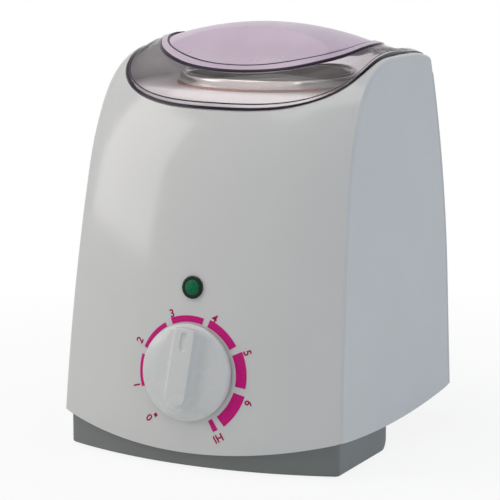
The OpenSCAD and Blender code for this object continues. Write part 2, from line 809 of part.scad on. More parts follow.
// Disc with a rounded edge, a grip bar with a pointer mark across it and a hub behind
module knob_disc() rotate_extrude() union() {
    translate([0, knob_gap]) square([knob_r, knob_h - knob_gap - knob_edge_r]);
    translate([0, knob_h - knob_edge_r - past]) square([knob_r - knob_edge_r, knob_edge_r + past]);
    translate([knob_r - knob_edge_r, knob_h - knob_edge_r]) circle(r = knob_edge_r);
}
module grip_plan() translate([0, grip_w / 2 - grip_low]) {
    translate([-grip_w / 2, 0]) square([grip_w, knob_r + grip_low - grip_w / 2]);
    circle(r = grip_w / 2);
}
module mark_plan() translate([0, mark_from + mark_w / 2]) {
    translate([-mark_w / 2, 0]) square([mark_w, mark_len - mark_w]);
    for (v = [0, mark_len - mark_w]) translate([0, v]) circle(r = mark_w / 2);
}
grip_top = [for (a = [0 : 15 : 90]) [grip_r, grip_h] + grip_round * [cos(a) - 1, sin(a) - 1]];
module dial_knob() color(white) at_dial() difference() {
    union() {
        difference() {
            union() {
                knob_disc();
                rotate(-knob_turn) intersection() {
                    translate([0, 0, knob_h - past]) linear_extrude(grip_h - knob_h + past) grip_plan();
                    rotate_extrude() polygon(concat([[0, 0], [grip_r, 0]], grip_top, [[0, grip_h]]));
                }
            }
            translate([0, 0, knob_gap - past])
                cylinder(r = knob_r - knob_wall, h = knob_h - knob_gap - knob_wall + past);
        }
        translate([0, 0, knob_gap + past]) cylinder(r = hub_r, h = knob_h - knob_gap - past - knob_wall / 2);
    }
    spindle_form(spindle_play);
    rotate(-knob_turn) translate([0, 0, grip_h - mark_depth]) linear_extrude(past + mark_depth) mark_plan();
}

// A strap over a rod of radius r under the chamber, its ears flat against the chamber's floor
module strap(r, y) translate([0, y, chamber_low_z - fit]) along_x(clip_w)
    difference() {
        union() {
            translate([0, -r]) circle(r = r + clip_t);
            translate([-r - clip_t, -r]) square([2 * (r + clip_t), r]);
            translate([-r - clip_t - clip_ear, -clip_t]) square([2 * (r + clip_t + clip_ear), clip_t]);
        }
        translate([0, -r]) circle(r = r + fit / 2);
        translate([-r - fit / 2, -r]) square([2 * r + fit, r + past]);
    }
// A rod along X under the chamber, touching height r below its floor
module rod(r, len, y, wire_r) translate([0, y, chamber_low_z - fit - r]) rotate([0, 90, 0])
    cylinder(r = wire_r, h = len, center = true);

module sensor_bulb() color(copper) rod(sensor_r, sensor_len, sensor_y, sensor_r);
module sensor_clip() color(steel) strap(sensor_r, sensor_y);
module thermal_fuse() color(steel) {
    rod(fuse_r, fuse_len, fuse_y, fuse_r);
    rod(fuse_r, fuse_len + 2 * lead_len, fuse_y, lead_r);
}
module fuse_clip() color(steel) strap(fuse_r, fuse_y);

// A round tube swept along points, with flat ends square to its first and last runs
function unit(v) = v / norm(v);
function run_dir(p, i) = unit(p[min(i + 1, len(p) - 1)] - p[max(i - 1, 0)]);
tube_side = [0.31, 0.17, 0.93];
function tube_ring(p, i, r, n) = let (d = run_dir(p, i), u = unit(cross(d, tube_side)), v = cross(d, u))
    [for (k = [0 : n - 1]) p[i] + r * (cos(360 * k / n) * u + sin(360 * k / n) * v)];
module tube(p, r, n) polyhedron(
    points = [for (i = [0 : len(p) - 1]) each tube_ring(p, i, r, n)],
    faces = concat(
        [[for (k = [0 : n - 1]) k]],
        [for (i = [0 : n : (len(p) - 2) * n], k = [0 : n - 1]) [i + k, i + n + k, i + n + (k + 1) % n]],
        [for (i = [0 : n : (len(p) - 2) * n], k = [0 : n - 1]) [i + k, i + n + (k + 1) % n, i + (k + 1) % n]],
        [[for (k = [0 : n - 1]) len(p) * n - 1 - k]]));

module lamp_lens() color(green) at_lamp() difference() {
    union() {
        translate([0, 0, fit / 2]) cylinder(r = lamp_r, h = lens_lip);
        translate([0, 0, fit / 2 + lens_lip]) intersection() {
            translate([0, 0, lens_rise - lens_lip - bow_r(lamp_r, lens_rise - lens_lip)])
                sphere(r = bow_r(lamp_r, lens_rise - lens_lip));
            cylinder(r = lamp_r, h = lens_rise);
        }
        translate([0, 0, -lens_stem_len]) cylinder(r = lens_stem_r, h = lens_stem_len + lens_lip);
    }
    translate([0, 0, -lens_stem_len - past]) cylinder(r = lens_stem_r - lens_wall, h = lens_stem_len + past);
}

module lamp_clip() color(steel) at_lamp() translate([0, 0, lamp_ring_z - lamp_ring_t])
    ring(lens_stem_r + lamp_ring_w, lens_stem_r + fit, lamp_ring_t);

holder_z = -lens_stem_len - holder_wall - fit;
module lamp_holder() color(phenolic) at_lamp() difference() {
    translate([0, 0, holder_z]) cylinder(r = lens_stem_r + fit + holder_wall, h = holder_len);
    translate([0, 0, holder_z + holder_wall]) cylinder(r = lens_stem_r + fit, h = holder_len);
    translate([0, 0, holder_z - past]) cylinder(r = bulb_r + fit, h = big / 4);
}

module neon_bulb() color(neon) at_lamp() {
    translate([0, 0, holder_z - bulb_out]) cylinder(r = bulb_r, h = bulb_out - holder_z - bulb_in);
    translate([0, 0, -bulb_in]) sphere(r = bulb_r);
}

module terminal_block() color(ivory) difference() {
    translate([-block_w / 2, block_y - block_d / 2, base_floor_z]) cube([block_w, block_d, block_h]);
    for (i = [0 : block_ways - 1]) translate([way_x(i), block_y, 0]) {
        for (s = [-1, 1]) translate([0, s * block_d / 4, base_floor_z + block_h - block_well])
            cylinder(r = block_screw_r + fit, h = block_well + past);
        translate([0, 0, base_floor_z + block_wire_z]) rotate([90, 0, 0])
            cylinder(r = block_wire_r, h = block_d + 2 * past, center = true);
    }
}

module terminal_screws() color(brass) for (i = [0 : block_ways - 1], s = [-1, 1])
    translate([way_x(i), block_y + s * block_d / 4, base_floor_z + block_h - block_well]) difference() {
        cylinder(r = block_screw_r, h = block_screw_h);
        translate([-block_screw_r, -block_slot_w / 2, block_screw_h - block_slot_w])
            cube([2 * block_screw_r, block_slot_w, past]);
    }

module cord_gland() color(black) translate([0, gland_y, gland_z]) rotate([-90, 0, 0]) difference() {
    union() {
        translate([0, 0, fit]) cylinder(r = gland_flange_r, h = gland_out - fit);
        translate([0, 0, -wall - gland_in]) cylinder(r = gland_neck_r, h = wall + gland_in + gland_out);
    }
    translate([0, 0, -wall - gland_in - past]) cylinder(r = gland_bore_r, h = big / 8);
}

module cord_clamp() color(ivory) difference() {
    translate([-clamp_w / 2, clamp_y - clamp_d / 2, clamp_z]) cube([clamp_w, clamp_d, clamp_h]);
    translate([0, clamp_y, base_floor_z + saddle_h]) rotate([90, 0, 0])
        cylinder(r = gland_bore_r - fit, h = clamp_d + 2 * past, center = true);
    for (x = [-clamp_screw_x, clamp_screw_x]) translate([x, clamp_y, base_floor_z])
        cylinder(r = hole_r, h = saddle_h + clamp_gap + clamp_h + past);
}

module cord_clamp_screws() color(steel) for (x = [-clamp_screw_x, clamp_screw_x])
    translate([x, clamp_y, clamp_z + clamp_h]) rotate([180, 0, 0]) screw(clamp_h + saddle_h);

module capillary_tube() color(copper) tube(capillary_route, capillary_r, capillary_sides);

outer_shell();
back_cover();
deck_ring();
base_tray();
rubber_feet();
base_screws();
lid_cover();
lid_handle();
inner_pot();
heating_chamber();
chamber_gasket();
chamber_screws();
heater_band();
heater_clamp_screw();
insulation_sleeve();
thermostat_bracket();
bracket_screws();
thermostat_body();
thermostat_nut();
thermostat_spindle();
dial_knob();
sensor_bulb();
capillary_tube();
sensor_clip();
thermal_fuse();
fuse_clip();
lamp_lens();
lamp_clip();
lamp_holder();
neon_bulb();
terminal_block();
terminal_screws();
cord_gland();
cord_clamp();
cord_clamp_screws();
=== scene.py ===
import json
from math import atan2, cos, hypot, pi, radians, sin, sqrt, tan

import bmesh
import bpy
import numpy as np
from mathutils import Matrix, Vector


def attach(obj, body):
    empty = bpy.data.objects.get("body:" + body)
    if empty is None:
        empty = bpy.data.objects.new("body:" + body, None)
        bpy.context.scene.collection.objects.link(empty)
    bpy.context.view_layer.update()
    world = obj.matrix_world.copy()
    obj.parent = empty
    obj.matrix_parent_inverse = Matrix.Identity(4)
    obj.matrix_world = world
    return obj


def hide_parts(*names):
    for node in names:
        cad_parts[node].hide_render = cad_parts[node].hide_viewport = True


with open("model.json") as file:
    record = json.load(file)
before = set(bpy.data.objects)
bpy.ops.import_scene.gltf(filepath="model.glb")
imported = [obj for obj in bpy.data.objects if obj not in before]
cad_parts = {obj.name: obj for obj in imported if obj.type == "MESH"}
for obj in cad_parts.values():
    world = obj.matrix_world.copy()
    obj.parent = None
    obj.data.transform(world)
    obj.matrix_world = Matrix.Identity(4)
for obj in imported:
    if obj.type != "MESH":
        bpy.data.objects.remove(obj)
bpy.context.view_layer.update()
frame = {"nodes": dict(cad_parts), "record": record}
MM = 0.001

# Shell, front and back curves
SHELL_W, SHELL_TOP_W, SHELL_D, SHELL_H = 152, 138, 135, 193.8
WALL, FRONT_BOW, BACK_BOW, COVER_DROP = 2.5, 15, 8, 12
CORNER_Z, FRONT_EDGE_Z, SIDE_EDGE_Z = 18.2, 8.3, 14.7
LEAN_LOW, LEAN_MID, LEAN_HIGH = radians(4.2), radians(13.3), radians(31)
BLEND_R, SHOULDER_R = 115, 43
BACK_STRAIGHT_Z, BACK_LEAN, BACK_CORNER_R = 75, radians(15.5), 3
BACK_TOP_R, BACK_TOP_LEAN, BACK_END_LEAN, BACK_DROP = 75, radians(73), radians(88), 5.75
EDGE_R = 2.0

# Lid and handle
LID_DROP, HORN_T, LID_T, LID_GAP = 23.5, 3, 2.2, 0.4
DOME_RISE, DOME_SIDE_R = 13.4, 60
HANDLE_BACK, HANDLE_A, HANDLE_B, HANDLE_T = 78, 53.5, 42, 2
HANDLE_UP, CREST_HALF_W, SCOOP_R = 0.8, 13, 50
COLLAR_W, COLLAR_H, TAB_T = 4.6, 0.6, 1.2
SIDE_STEP, SIDE_STEP_W, SIDE_SWELL, SWELL_RISE, SWELL_FALL = 0.9, 8, 1.9, 5, 16
SWELL_Y, SWELL_LEN, LID_BLEND = -15, 25, 1.0

# Pot and deck
POT_BACK, POT_R, POT_WALL, POT_DEPTH, RIM_H, RIM_W = 76, 42, 1.2, 91, 6, 3
DECK_DROP, DECK_T, POT_GAP, NECK_LEN = 15.8, 3, 0.9, 14

# Dial, lamp, base and gland
DIAL_Z, KNOB_R, KNOB_H, KNOB_GAP, KNOB_TURN = 47.5, 23.5, 5, 0.35, radians(7)
GRIP_H, GRIP_W, GRIP_LOW, GRIP_R = 10, 10.5, 16, 22
MARK_W, MARK_LEN, MARK_END, MARK_DEPTH = 3.4, 9, 1.8, 0.8
LAMP_Z, LAMP_R, LENS_LIP, LENS_RISE = 87.9, 5.5, 0.8, 2.6
BASE_INSET, BASE_Z, BASE_TOP, FOOT_LEN, FOOT_EDGE_R = 2.8, 1, 20, 59, 6
FLANGE_Z, TAIL_HALF_W, TAIL_SHORT = 17, 36, 7
PAD_R, PAD_TOP = 7, 2.2
GLAND_Z, GLAND_BORE_R, GLAND_NECK_R, GLAND_FLANGE_R, GLAND_OUT, GLAND_IN = 32, 3.75, 6.75, 9.25, 4, 5

FRONT_Y = -61.5
BACK_Y = FRONT_Y + SHELL_D
MID_Y = (FRONT_Y + BACK_Y) / 2
POT_Y = FRONT_Y + POT_BACK
HANDLE_Y = FRONT_Y + HANDLE_BACK
HALF_LOW, HALF_TOP = SHELL_W / 2, SHELL_TOP_W / 2
SEAM_Z, SEAM_HALF = SHELL_H - LID_DROP, HALF_TOP - HORN_T
COVER_Z = SHELL_H - COVER_DROP
DECK_Z = SHELL_H - DECK_DROP
NECK_INSET, NECK_Z = LID_T + LID_GAP, SEAM_Z - NECK_LEN
DOME_Z = SHELL_H + DOME_RISE


def bow_radius(half, rise):
    return (half * half + rise * rise) / (2 * rise)


def bow_drop(half, r):
    return r - sqrt(r * r - half * half)


DOME_R = bow_radius(SEAM_HALF, DOME_RISE)
FRONT_R = bow_radius(HALF_LOW, FRONT_BOW)
FRONT_AXIS = FRONT_Y - FRONT_BOW + FRONT_R
BACK_R = bow_radius(HALF_LOW, BACK_BOW)
BACK_AXIS = BACK_Y + BACK_BOW - BACK_R
SIDE_SLOPE = (HALF_LOW - HALF_TOP) / (SHELL_H - CORNER_Z)
FRONT_EDGE_R = bow_radius(HALF_LOW, CORNER_Z - FRONT_EDGE_Z)
SIDE_EDGE_R = bow_radius(SHELL_D / 2, CORNER_Z - SIDE_EDGE_Z)


def out_dir(lean):
    return np.array([cos(lean), sin(lean)])


SHOULDER_Z = SHELL_H - SHOULDER_R * (1 - sin(LEAN_HIGH))
BLEND_Z = SHOULDER_Z - BLEND_R * (sin(LEAN_HIGH) - sin(LEAN_MID))
LONG_R = (BLEND_Z - CORNER_Z) / (sin(LEAN_MID) - sin(LEAN_LOW))
FRONT_C1 = np.array([FRONT_R, CORNER_Z]) - LONG_R * out_dir(LEAN_LOW)
FRONT_C2 = FRONT_C1 + (LONG_R - BLEND_R) * out_dir(LEAN_MID)
FRONT_C3 = FRONT_C2 + (BLEND_R - SHOULDER_R) * out_dir(LEAN_HIGH)
FRONT_ARCS = [
    (FRONT_C1, LONG_R, LEAN_LOW, LEAN_MID),
    (FRONT_C2, BLEND_R, LEAN_MID, LEAN_HIGH),
    (FRONT_C3, SHOULDER_R, LEAN_HIGH, pi / 2),
]
BACK_LONG_R = (SHELL_H - BACK_DROP - BACK_STRAIGHT_Z) / sin(BACK_LEAN)
BACK_C1 = np.array([BACK_R - BACK_LONG_R, BACK_STRAIGHT_Z])
BACK_C2 = BACK_C1 + (BACK_LONG_R - BACK_CORNER_R) * out_dir(BACK_LEAN)
BACK_C3 = BACK_C2 + (BACK_CORNER_R - BACK_TOP_R) * out_dir(BACK_TOP_LEAN)
BACK_ARCS = [
    (BACK_C1, BACK_LONG_R, 0, BACK_LEAN),
    (BACK_C2, BACK_CORNER_R, BACK_LEAN, BACK_TOP_LEAN),
    (BACK_C3, BACK_TOP_R, BACK_TOP_LEAN, BACK_END_LEAN),
]
ARC_STEPS, LEVEL_LEAN = 80, radians(89.9)


class Profile:
    """Heights, radii and lengths along a profile of the skin drawn in by o, from the floor to the top."""

    def __init__(self, arcs, o, end_lean):
        pts = []
        for centre, r, lean0, lean1 in arcs:
            pts += [centre + (r - o) * out_dir(lean) for lean in spread(lean0, lean1, ARC_STEPS)]
        level = end_lean > LEVEL_LEAN
        end_rise = 0 if level else pts[-1][0] / tan(end_lean)
        pts.insert(0, np.array([pts[0][0], -1.0]))
        pts.append(np.array([0.0, pts[-1][1] + end_rise]))
        self.r = np.array([p[0] for p in pts])
        self.z = np.array([p[1] for p in pts])
        self.s = np.concatenate([[0], np.cumsum(np.hypot(np.diff(self.r), np.diff(self.z)))])
        self.rising = len(pts) - level

    def r_at(self, z):
        return float(np.interp(z, self.z[: self.rising], self.r[: self.rising]))

    def z_at(self, r):
        return float(np.interp(-r, -self.r, self.z))

    def s_at(self, z):
        return float(np.interp(z, self.z[: self.rising], self.s[: self.rising]))

    def point(self, s):
        return float(np.interp(s, self.s, self.r)), float(np.interp(s, self.s, self.z))

    def normal(self, s):
        step = 0.05
        r0, z0 = self.point(s - step)
        r1, z1 = self.point(s + step)
        d = hypot(r1 - r0, z1 - z0)
        return (z1 - z0) / d, (r0 - r1) / d


profiles = {}


def front(o=0.0):
    if ("front", o) not in profiles:
        profiles["front", o] = Profile(FRONT_ARCS, o, pi / 2)
    return profiles["front", o]


def back(o=0.0):
    if ("back", o) not in profiles:
        profiles["back", o] = Profile(BACK_ARCS, o, BACK_END_LEAN)
    return profiles["back", o]


def side_at(z):
    return HALF_LOW - max(0.0, z - CORNER_Z) * SIDE_SLOPE


def front_y(x, z, o=0.0):
    r = front(o).r_at(z)
    return FRONT_AXIS - sqrt(max(r * r - x * x, 0))


def back_y(x, z, o=0.0):
    r = back(o).r_at(z)
    return BACK_AXIS + sqrt(max(r * r - x * x, 0))


def top_z(x, y, o=0.0):
    return min(front(o).z_at(hypot(x, y - FRONT_AXIS)), back(o).z_at(hypot(x, y - BACK_AXIS)))


def dome_z(x, y, o=0.0):
    """Height of the lid's dome drawn in by o."""
    v = min(abs(y - HANDLE_Y), DOME_SIDE_R - o - 0.5)
    rho = DOME_R - DOME_SIDE_R + sqrt((DOME_SIDE_R - o) ** 2 - v * v)
    return DOME_Z - DOME_R + sqrt(rho * rho - x * x)


def soft_max(a, b, k):
    h = max(k - abs(a - b), 0) / k
    return max(a, b) + h * h * k / 4


def smooth_step(f):
    f = min(max(f, 0), 1)
    return f * f * (3 - 2 * f)


def side_step(x, y):
    """How far the lid stands over the horns near its sides, with a swell behind its front edge."""
    off = SEAM_HALF - abs(x)
    swell = SIDE_SWELL * (smooth_step(off / SWELL_RISE) - smooth_step((off - SIDE_STEP_W) / SWELL_FALL))
    swell *= smooth_step((y - SWELL_Y) / SWELL_LEN)
    return SIDE_STEP * smooth_step(1 - off / SIDE_STEP_W) + swell


def lid_z(x, y, o=0.0):
    return soft_max(top_z(x, y, o), dome_z(x, y, o), LID_BLEND) + side_step(x, y)


def seam(a, g=0.0):
    x = sin(a)
    rise = 1 - sqrt(max(0.0, 1 - abs(x) ** 3))
    return (SEAM_HALF - g) * x, SEAM_Z + g + (SHELL_H - SEAM_Z) * rise


def lerp(a, b, f):
    return a + (b - a) * f


def spread(a, b, n):
    return [lerp(a, b, i / n) for i in range(n + 1)]


def last_true(test, high, halvings=30):
    """The greatest value from 0 up to high at which the test still holds."""
    low = 0.0
    for _ in range(halvings):
        mid = (low + high) / 2
        low, high = (mid, high) if test(mid) else (low, mid)
    return low


# Meshes from points in millimetres
def make(name, sheet, smooth=True, weld=0.002):
    mesh = bpy.data.meshes.new(name)
    mesh.from_pydata([Vector(p) * MM for p in sheet.points], [], sheet.faces)
    mesh.polygons.foreach_set("material_index", sheet.slots)
    bm = bmesh.new()
    bm.from_mesh(mesh)
    bmesh.ops.remove_doubles(bm, verts=bm.verts, dist=weld * MM)
    bmesh.ops.dissolve_degenerate(bm, dist=weld * MM, edges=bm.edges)
    bmesh.ops.recalc_face_normals(bm, faces=bm.faces)
    bm.to_mesh(mesh)
    bm.free()
    mesh.polygons.foreach_set("use_smooth", [smooth] * len(mesh.polygons))
    obj = bpy.data.objects.new(name, mesh)
    bpy.context.scene.collection.objects.link(obj)
    return obj


class Sheet:
    """Points and faces, each with a material slot, that are put together and become one mesh."""

    def __init__(self):
        self.points = []
        self.faces = []
        self.slots = []

    def add(self, points):
        start = len(self.points)
        self.points += [tuple(p) for p in points]
        return list(range(start, len(self.points)))

    def join(self, ids, slot=0):
        self.faces.append(tuple(ids))
        self.slots.append(slot)

    def band(self, low, high, closed, slot=0):
        n = len(low)
        for i in range(n if closed else n - 1):
            j = (i + 1) % n
            self.join((low[i], low[j], high[j], high[i]), slot)

    def grid(self, rows, closed=False, slots=None):
        ids = [self.add(row) for row in rows]
        for k in range(len(ids) - 1):
            self.band(ids[k], ids[k + 1], closed, slots[k] if slots else 0)
        return ids

    def face(self, points):
        self.join(self.add(points))

    def loft(self, rings, cap_start=False, cap_end=False, wrap=False, slots=None):
        ids = self.grid(rings, closed=True, slots=slots)
        if wrap:
            self.band(ids[-1], ids[0], True, slots[-1] if slots else 0)
        for ring, wanted in ((ids[0], cap_start), (ids[-1], cap_end)):
            if wanted:
                self.join(ring)

    def lathe(self, profile, place, n=96, wrap=False):
        turns = [2 * pi * i / n for i in range(n)]
        rings = [[place(r * cos(a), r * sin(a), h) for a in turns] for r, h in profile]
        self.loft(rings, wrap=wrap, cap_start=not wrap, cap_end=not wrap)


def bend(centre, r, a0, a1, n):
    """Points of an arc in a profile, angles in degrees."""
    return [(centre[0] + r * cos(radians(a)), centre[1] + r * sin(radians(a))) for a in spread(a0, a1, n)]


def solid(obj, thickness, offset=-1):
    mod = obj.modifiers.new("thickness", "SOLIDIFY")
    mod.thickness = thickness * MM
    mod.offset = offset
    return obj


def soften(obj, width, segments=2, angle=40):
    mod = obj.modifiers.new("edges", "BEVEL")
    mod.width = width * MM
    mod.segments = segments
    mod.limit_method = "ANGLE"
    mod.angle_limit = radians(angle)
    return crease(obj, 48)


def crease(obj, angle):
    mod = obj.modifiers.new("creases", "EDGE_SPLIT")
    mod.split_angle = radians(angle)
    return obj


def cut(obj, cutter):
    mod = obj.modifiers.new("cut", "BOOLEAN")
    mod.object = cutter
    mod.solver = "EXACT"
    bpy.context.view_layer.update()
    graph = bpy.context.evaluated_depsgraph_get()
    mesh = bpy.data.meshes.new_from_object(obj.evaluated_get(graph))
    obj.modifiers.clear()
    obj.data = mesh
    bpy.data.objects.remove(cutter)
    return obj


# Materials, with the colour sockets of a mix node and the part of the noise that is used
MIX_FACTOR, MIX_FIRST, MIX_SECOND, MIX_RESULT = 0, 6, 7, 2
NOISE_LOW, NOISE_HIGH = 0.3, 0.7


def new_material(name):
    mat = bpy.data.materials.new(name)
    mat.use_nodes = True
    nodes, links = mat.node_tree.nodes, mat.node_tree.links
    shader = nodes["Principled BSDF"]
    place = nodes.new("ShaderNodeTexCoord")
    return mat, nodes, links, shader, place.outputs["Object"]


def add_noise(nodes, links, place, scale, detail=3, stretch=None):
    noise = nodes.new("ShaderNodeTexNoise")
    noise.inputs["Scale"].default_value = scale
    noise.inputs["Detail"].default_value = detail
    if stretch:
        mapping = nodes.new("ShaderNodeMapping")
        mapping.inputs["Scale"].default_value = stretch
        links.new(place, mapping.inputs["Vector"])
        place = mapping.outputs["Vector"]
    links.new(place, noise.inputs["Vector"])
    return noise.outputs["Fac"]


def add_ramp(nodes, links, value, stops):
    ramp = nodes.new("ShaderNodeValToRGB")
    while len(ramp.color_ramp.elements) < len(stops):
        ramp.color_ramp.elements.new(0.5)
    for element, (at, colour) in zip(ramp.color_ramp.elements, stops):
        element.position = at
        element.color = (*colour, 1)
    links.new(value, ramp.inputs["Fac"])
    return ramp.outputs["Color"]


def add_math(nodes, links, operation, *values):
    node = nodes.new("ShaderNodeMath")
    node.operation = operation
    for value, socket in zip(values, node.inputs):
        links.new(value, socket)
    return node.outputs["Value"]


def add_range(nodes, links, value, low, high, start=NOISE_LOW, end=NOISE_HIGH):
    ranged = nodes.new("ShaderNodeMapRange")
    ranged.inputs["From Min"].default_value = start
    ranged.inputs["From Max"].default_value = end
    ranged.inputs["To Min"].default_value = low
    ranged.inputs["To Max"].default_value = high
    links.new(value, ranged.inputs["Value"])
    return ranged.outputs["Result"]


def add_bump(nodes, links, shader, value, distance, strength=1.0):
    bump = nodes.new("ShaderNodeBump")
    bump.inputs["Strength"].default_value = strength
    bump.inputs["Distance"].default_value = distance * MM
    links.new(value, bump.inputs["Height"])
    links.new(bump.outputs["Normal"], shader.inputs["Normal"])


def surface(name, dark, light, rough, grain, depth, patch=25, metallic=0.0, stretch=None, **sockets):
    """A moulded or metal surface: patchy colour and gloss, and a fine grain of that many per metre."""
    mat, nodes, links, shader, place = new_material(name)
    cloud = add_noise(nodes, links, place, patch, 4)
    colour = add_ramp(nodes, links, cloud, [(NOISE_LOW, dark), (NOISE_HIGH, light)])
    links.new(colour, shader.inputs["Base Color"])
    fine = add_noise(nodes, links, place, grain, 3, stretch)
    links.new(add_range(nodes, links, fine, *rough), shader.inputs["Roughness"])
    add_bump(nodes, links, shader, fine, depth)
    shader.inputs["Metallic"].default_value = metallic
    for socket, value in sockets.items():
        shader.inputs[socket.replace("_", " ")].default_value = value
    return mat


def add_tint(mat, colour, density):
    """Colour that the light loses on its way through the clear material, by that much per metre."""
    tint = mat.node_tree.nodes.new("ShaderNodeVolumeAbsorption")
    tint.inputs["Color"].default_value = (*colour, 1)
    tint.inputs["Density"].default_value = density
    mat.node_tree.links.new(tint.outputs["Volume"], mat.node_tree.nodes["Material Output"].inputs["Volume"])


def add_painted_side_shade(mat, start, end, colour):
    """Painted shade: darkens the base colour towards both sides, between those distances from the middle.
    """
    nodes, links = mat.node_tree.nodes, mat.node_tree.links
    base = nodes["Principled BSDF"].inputs["Base Color"]
    place = nodes.new("ShaderNodeTexCoord")
    axes = nodes.new("ShaderNodeSeparateXYZ")
    links.new(place.outputs["Object"], axes.inputs["Vector"])
    off = add_math(nodes, links, "ABSOLUTE", axes.outputs["X"])
    share = add_range(nodes, links, off, 0, 1, start * MM, end * MM)
    shade = nodes.new("ShaderNodeMix")
    shade.data_type = "RGBA"
    shade.blend_type = "MULTIPLY"
    shade.inputs[MIX_SECOND].default_value = (*colour, 1)
    links.new(share, shade.inputs[MIX_FACTOR])
    links.new(base.links[0].from_socket, shade.inputs[MIX_FIRST])
    links.new(shade.outputs[MIX_RESULT], base)


white_gloss = surface("white_gloss", (0.7, 0.69, 0.675), (0.72, 0.71, 0.695), (0.11, 0.15), 90, 0.002)
knob_white = surface("knob_white", (0.72, 0.72, 0.71), (0.735, 0.735, 0.725), (0.24, 0.29), 90, 0.002)
grey_plastic = surface("grey_plastic", (0.175, 0.188, 0.18), (0.195, 0.208, 0.2), (0.42, 0.55), 2600, 0.02)
lilac_plastic = surface(
    "lilac_plastic", (0.62, 0.475, 0.595), (0.67, 0.525, 0.645), (0.26, 0.34), 90, 0.002, patch=60,
)
print_pink = surface(
    "print_pink", (0.64, 0.014, 0.21), (0.72, 0.018, 0.25), (0.5, 0.6), 2500, 0.002, patch=900,
    Specular_IOR_Level=0.1,
)
print_crimson = surface(
    "print_crimson", (0.42, 0.008, 0.085), (0.48, 0.01, 0.1), (0.5, 0.6), 2500, 0.002, patch=900,
    Specular_IOR_Level=0.1,
)
bright_metal = surface(
    "bright_metal", (0.52, 0.49, 0.45), (0.6, 0.57, 0.53), (0.16, 0.24), 900, 0.002, patch=40, metallic=1.0,
    stretch=(1, 1, 14),
)
aluminium = surface(
    "aluminium", (0.55, 0.55, 0.56), (0.68, 0.68, 0.69), (0.28, 0.42), 1200, 0.006, patch=50, metallic=1.0,
    stretch=(1, 1, 10),
)
zinc_steel = surface(
    "zinc_steel", (0.5, 0.51, 0.53), (0.62, 0.63, 0.65), (0.3, 0.45), 1500, 0.006,
    patch=120, metallic=1.0,
)
brass = surface(
    "brass", (0.58, 0.42, 0.17), (0.72, 0.55, 0.25), (0.25, 0.4), 1500, 0.006, patch=120, metallic=1.0,
)
copper = surface(
    "copper", (0.52, 0.22, 0.11), (0.68, 0.32, 0.18), (0.25, 0.42), 1500, 0.006, patch=150, metallic=1.0,
)
black_rubber = surface(
    "black_rubber", (0.018, 0.018, 0.019), (0.03, 0.03, 0.031), (0.6, 0.8), 3000, 0.04, patch=90,
)
silicone = surface("silicone", (0.36, 0.07, 0.05), (0.42, 0.09, 0.065), (0.45, 0.6), 1500, 0.02, patch=70)
mineral_felt = surface(
    "mineral_felt", (0.6, 0.57, 0.48), (0.74, 0.71, 0.62), (0.8, 0.95), 1600, 0.35,
    patch=180, stretch=(1, 1, 4),
)
phenolic = surface(
    "phenolic", (0.03, 0.02, 0.014), (0.05, 0.036, 0.026), (0.35, 0.5), 1800, 0.02, patch=200,
)
ivory_plastic = surface(
    "ivory_plastic", (0.64, 0.61, 0.5), (0.7, 0.67, 0.57), (0.35, 0.48), 1600, 0.015, patch=70,
)
lamp_glass = surface(
    "lamp_glass", (0.9, 0.82, 0.76), (0.96, 0.9, 0.84), (0.02, 0.05), 500, 0.002, patch=60,
    Transmission_Weight=0.9, IOR=1.5,
)
green_lens = surface(
    "green_lens", (0.001, 0.1, 0.042), (0.002, 0.19, 0.08), (0.12, 0.2), 1800, 0.002, patch=900,
    Specular_IOR_Level=0.12,
)
green_ring = surface(
    "green_ring", (0.002, 0.012, 0.007), (0.003, 0.018, 0.011), (0.2, 0.3), 1800, 0.002, patch=400,
    Specular_IOR_Level=0.2,
)
clear_plastic = surface(
    "clear_plastic", (0.975, 0.965, 0.975), (0.985, 0.975, 0.985), (0.0, 0.004), 120, 0.0005, patch=30,
    Transmission_Weight=1.0, IOR=1.05, Coat_Weight=0.8, Coat_Roughness=0.02,
)
add_tint(clear_plastic, (0.5, 0.4, 0.45), 90)
# Painted shade on the lid's sides: its colour darkens from 44 to 60 mm off the middle.
add_painted_side_shade(clear_plastic, 44, 60, (0.66, 0.65, 0.67))
# Near-black violet for the lid's rim and collar lines: painted shade, the dark of the gaps and of the clear
# edges seen edge-on.
lid_edge_shade = surface(
    "lid_edge_shade", (0.018, 0.01, 0.024), (0.03, 0.018, 0.04), (0.1, 0.16), 500, 0.002, patch=90,
    Specular_IOR_Level=0.15,
)

SLOT_MATERIALS = {
    "white_gloss": white_gloss, "grey_plastic": grey_plastic, "clear_plastic": clear_plastic,
    "lilac_plastic": lilac_plastic, "bright_metal": bright_metal, "aluminium": aluminium,
    "zinc_steel": zinc_steel, "brass": brass, "copper": copper, "black_rubber": black_rubber,
    "silicone": silicone, "mineral_felt": mineral_felt, "phenolic": phenolic,
    "ivory_plastic": ivory_plastic, "green_lens": green_lens, "lamp_glass": lamp_glass,
}


def piece(obj, body, nodes, slot, *mats):
    for mat in mats:
        obj.data.materials.append(mat)
    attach(obj, body)
    if nodes:
        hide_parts(*nodes)
    return obj


# Shell: front, sides and horns with rounded edges
def flip(points):
    return [(-x, y, z) for x, y, z in points]


SEAM_ANGLES = [radians(a) for a in spread(0, 90, 36)]
ROWS, REAR_ROWS, COVER_ROWS = 56, 30, 48
EDGE_STEPS, TOP_STEPS, BOTTOM_STEPS, HORN_COLUMNS = 6, 6, 40, 14
SIDE_NORMAL = Vector((1, 0, SIDE_SLOPE)).normalized()


def column_part(a):
    x, z = seam(a)
    return x / side_at(z)


def front_edge_z(x):
    return FRONT_EDGE_Z + bow_drop(x, FRONT_EDGE_R)


def side_edge_z(y):
    return SIDE_EDGE_Z + bow_drop(y - MID_Y, SIDE_EDGE_R)


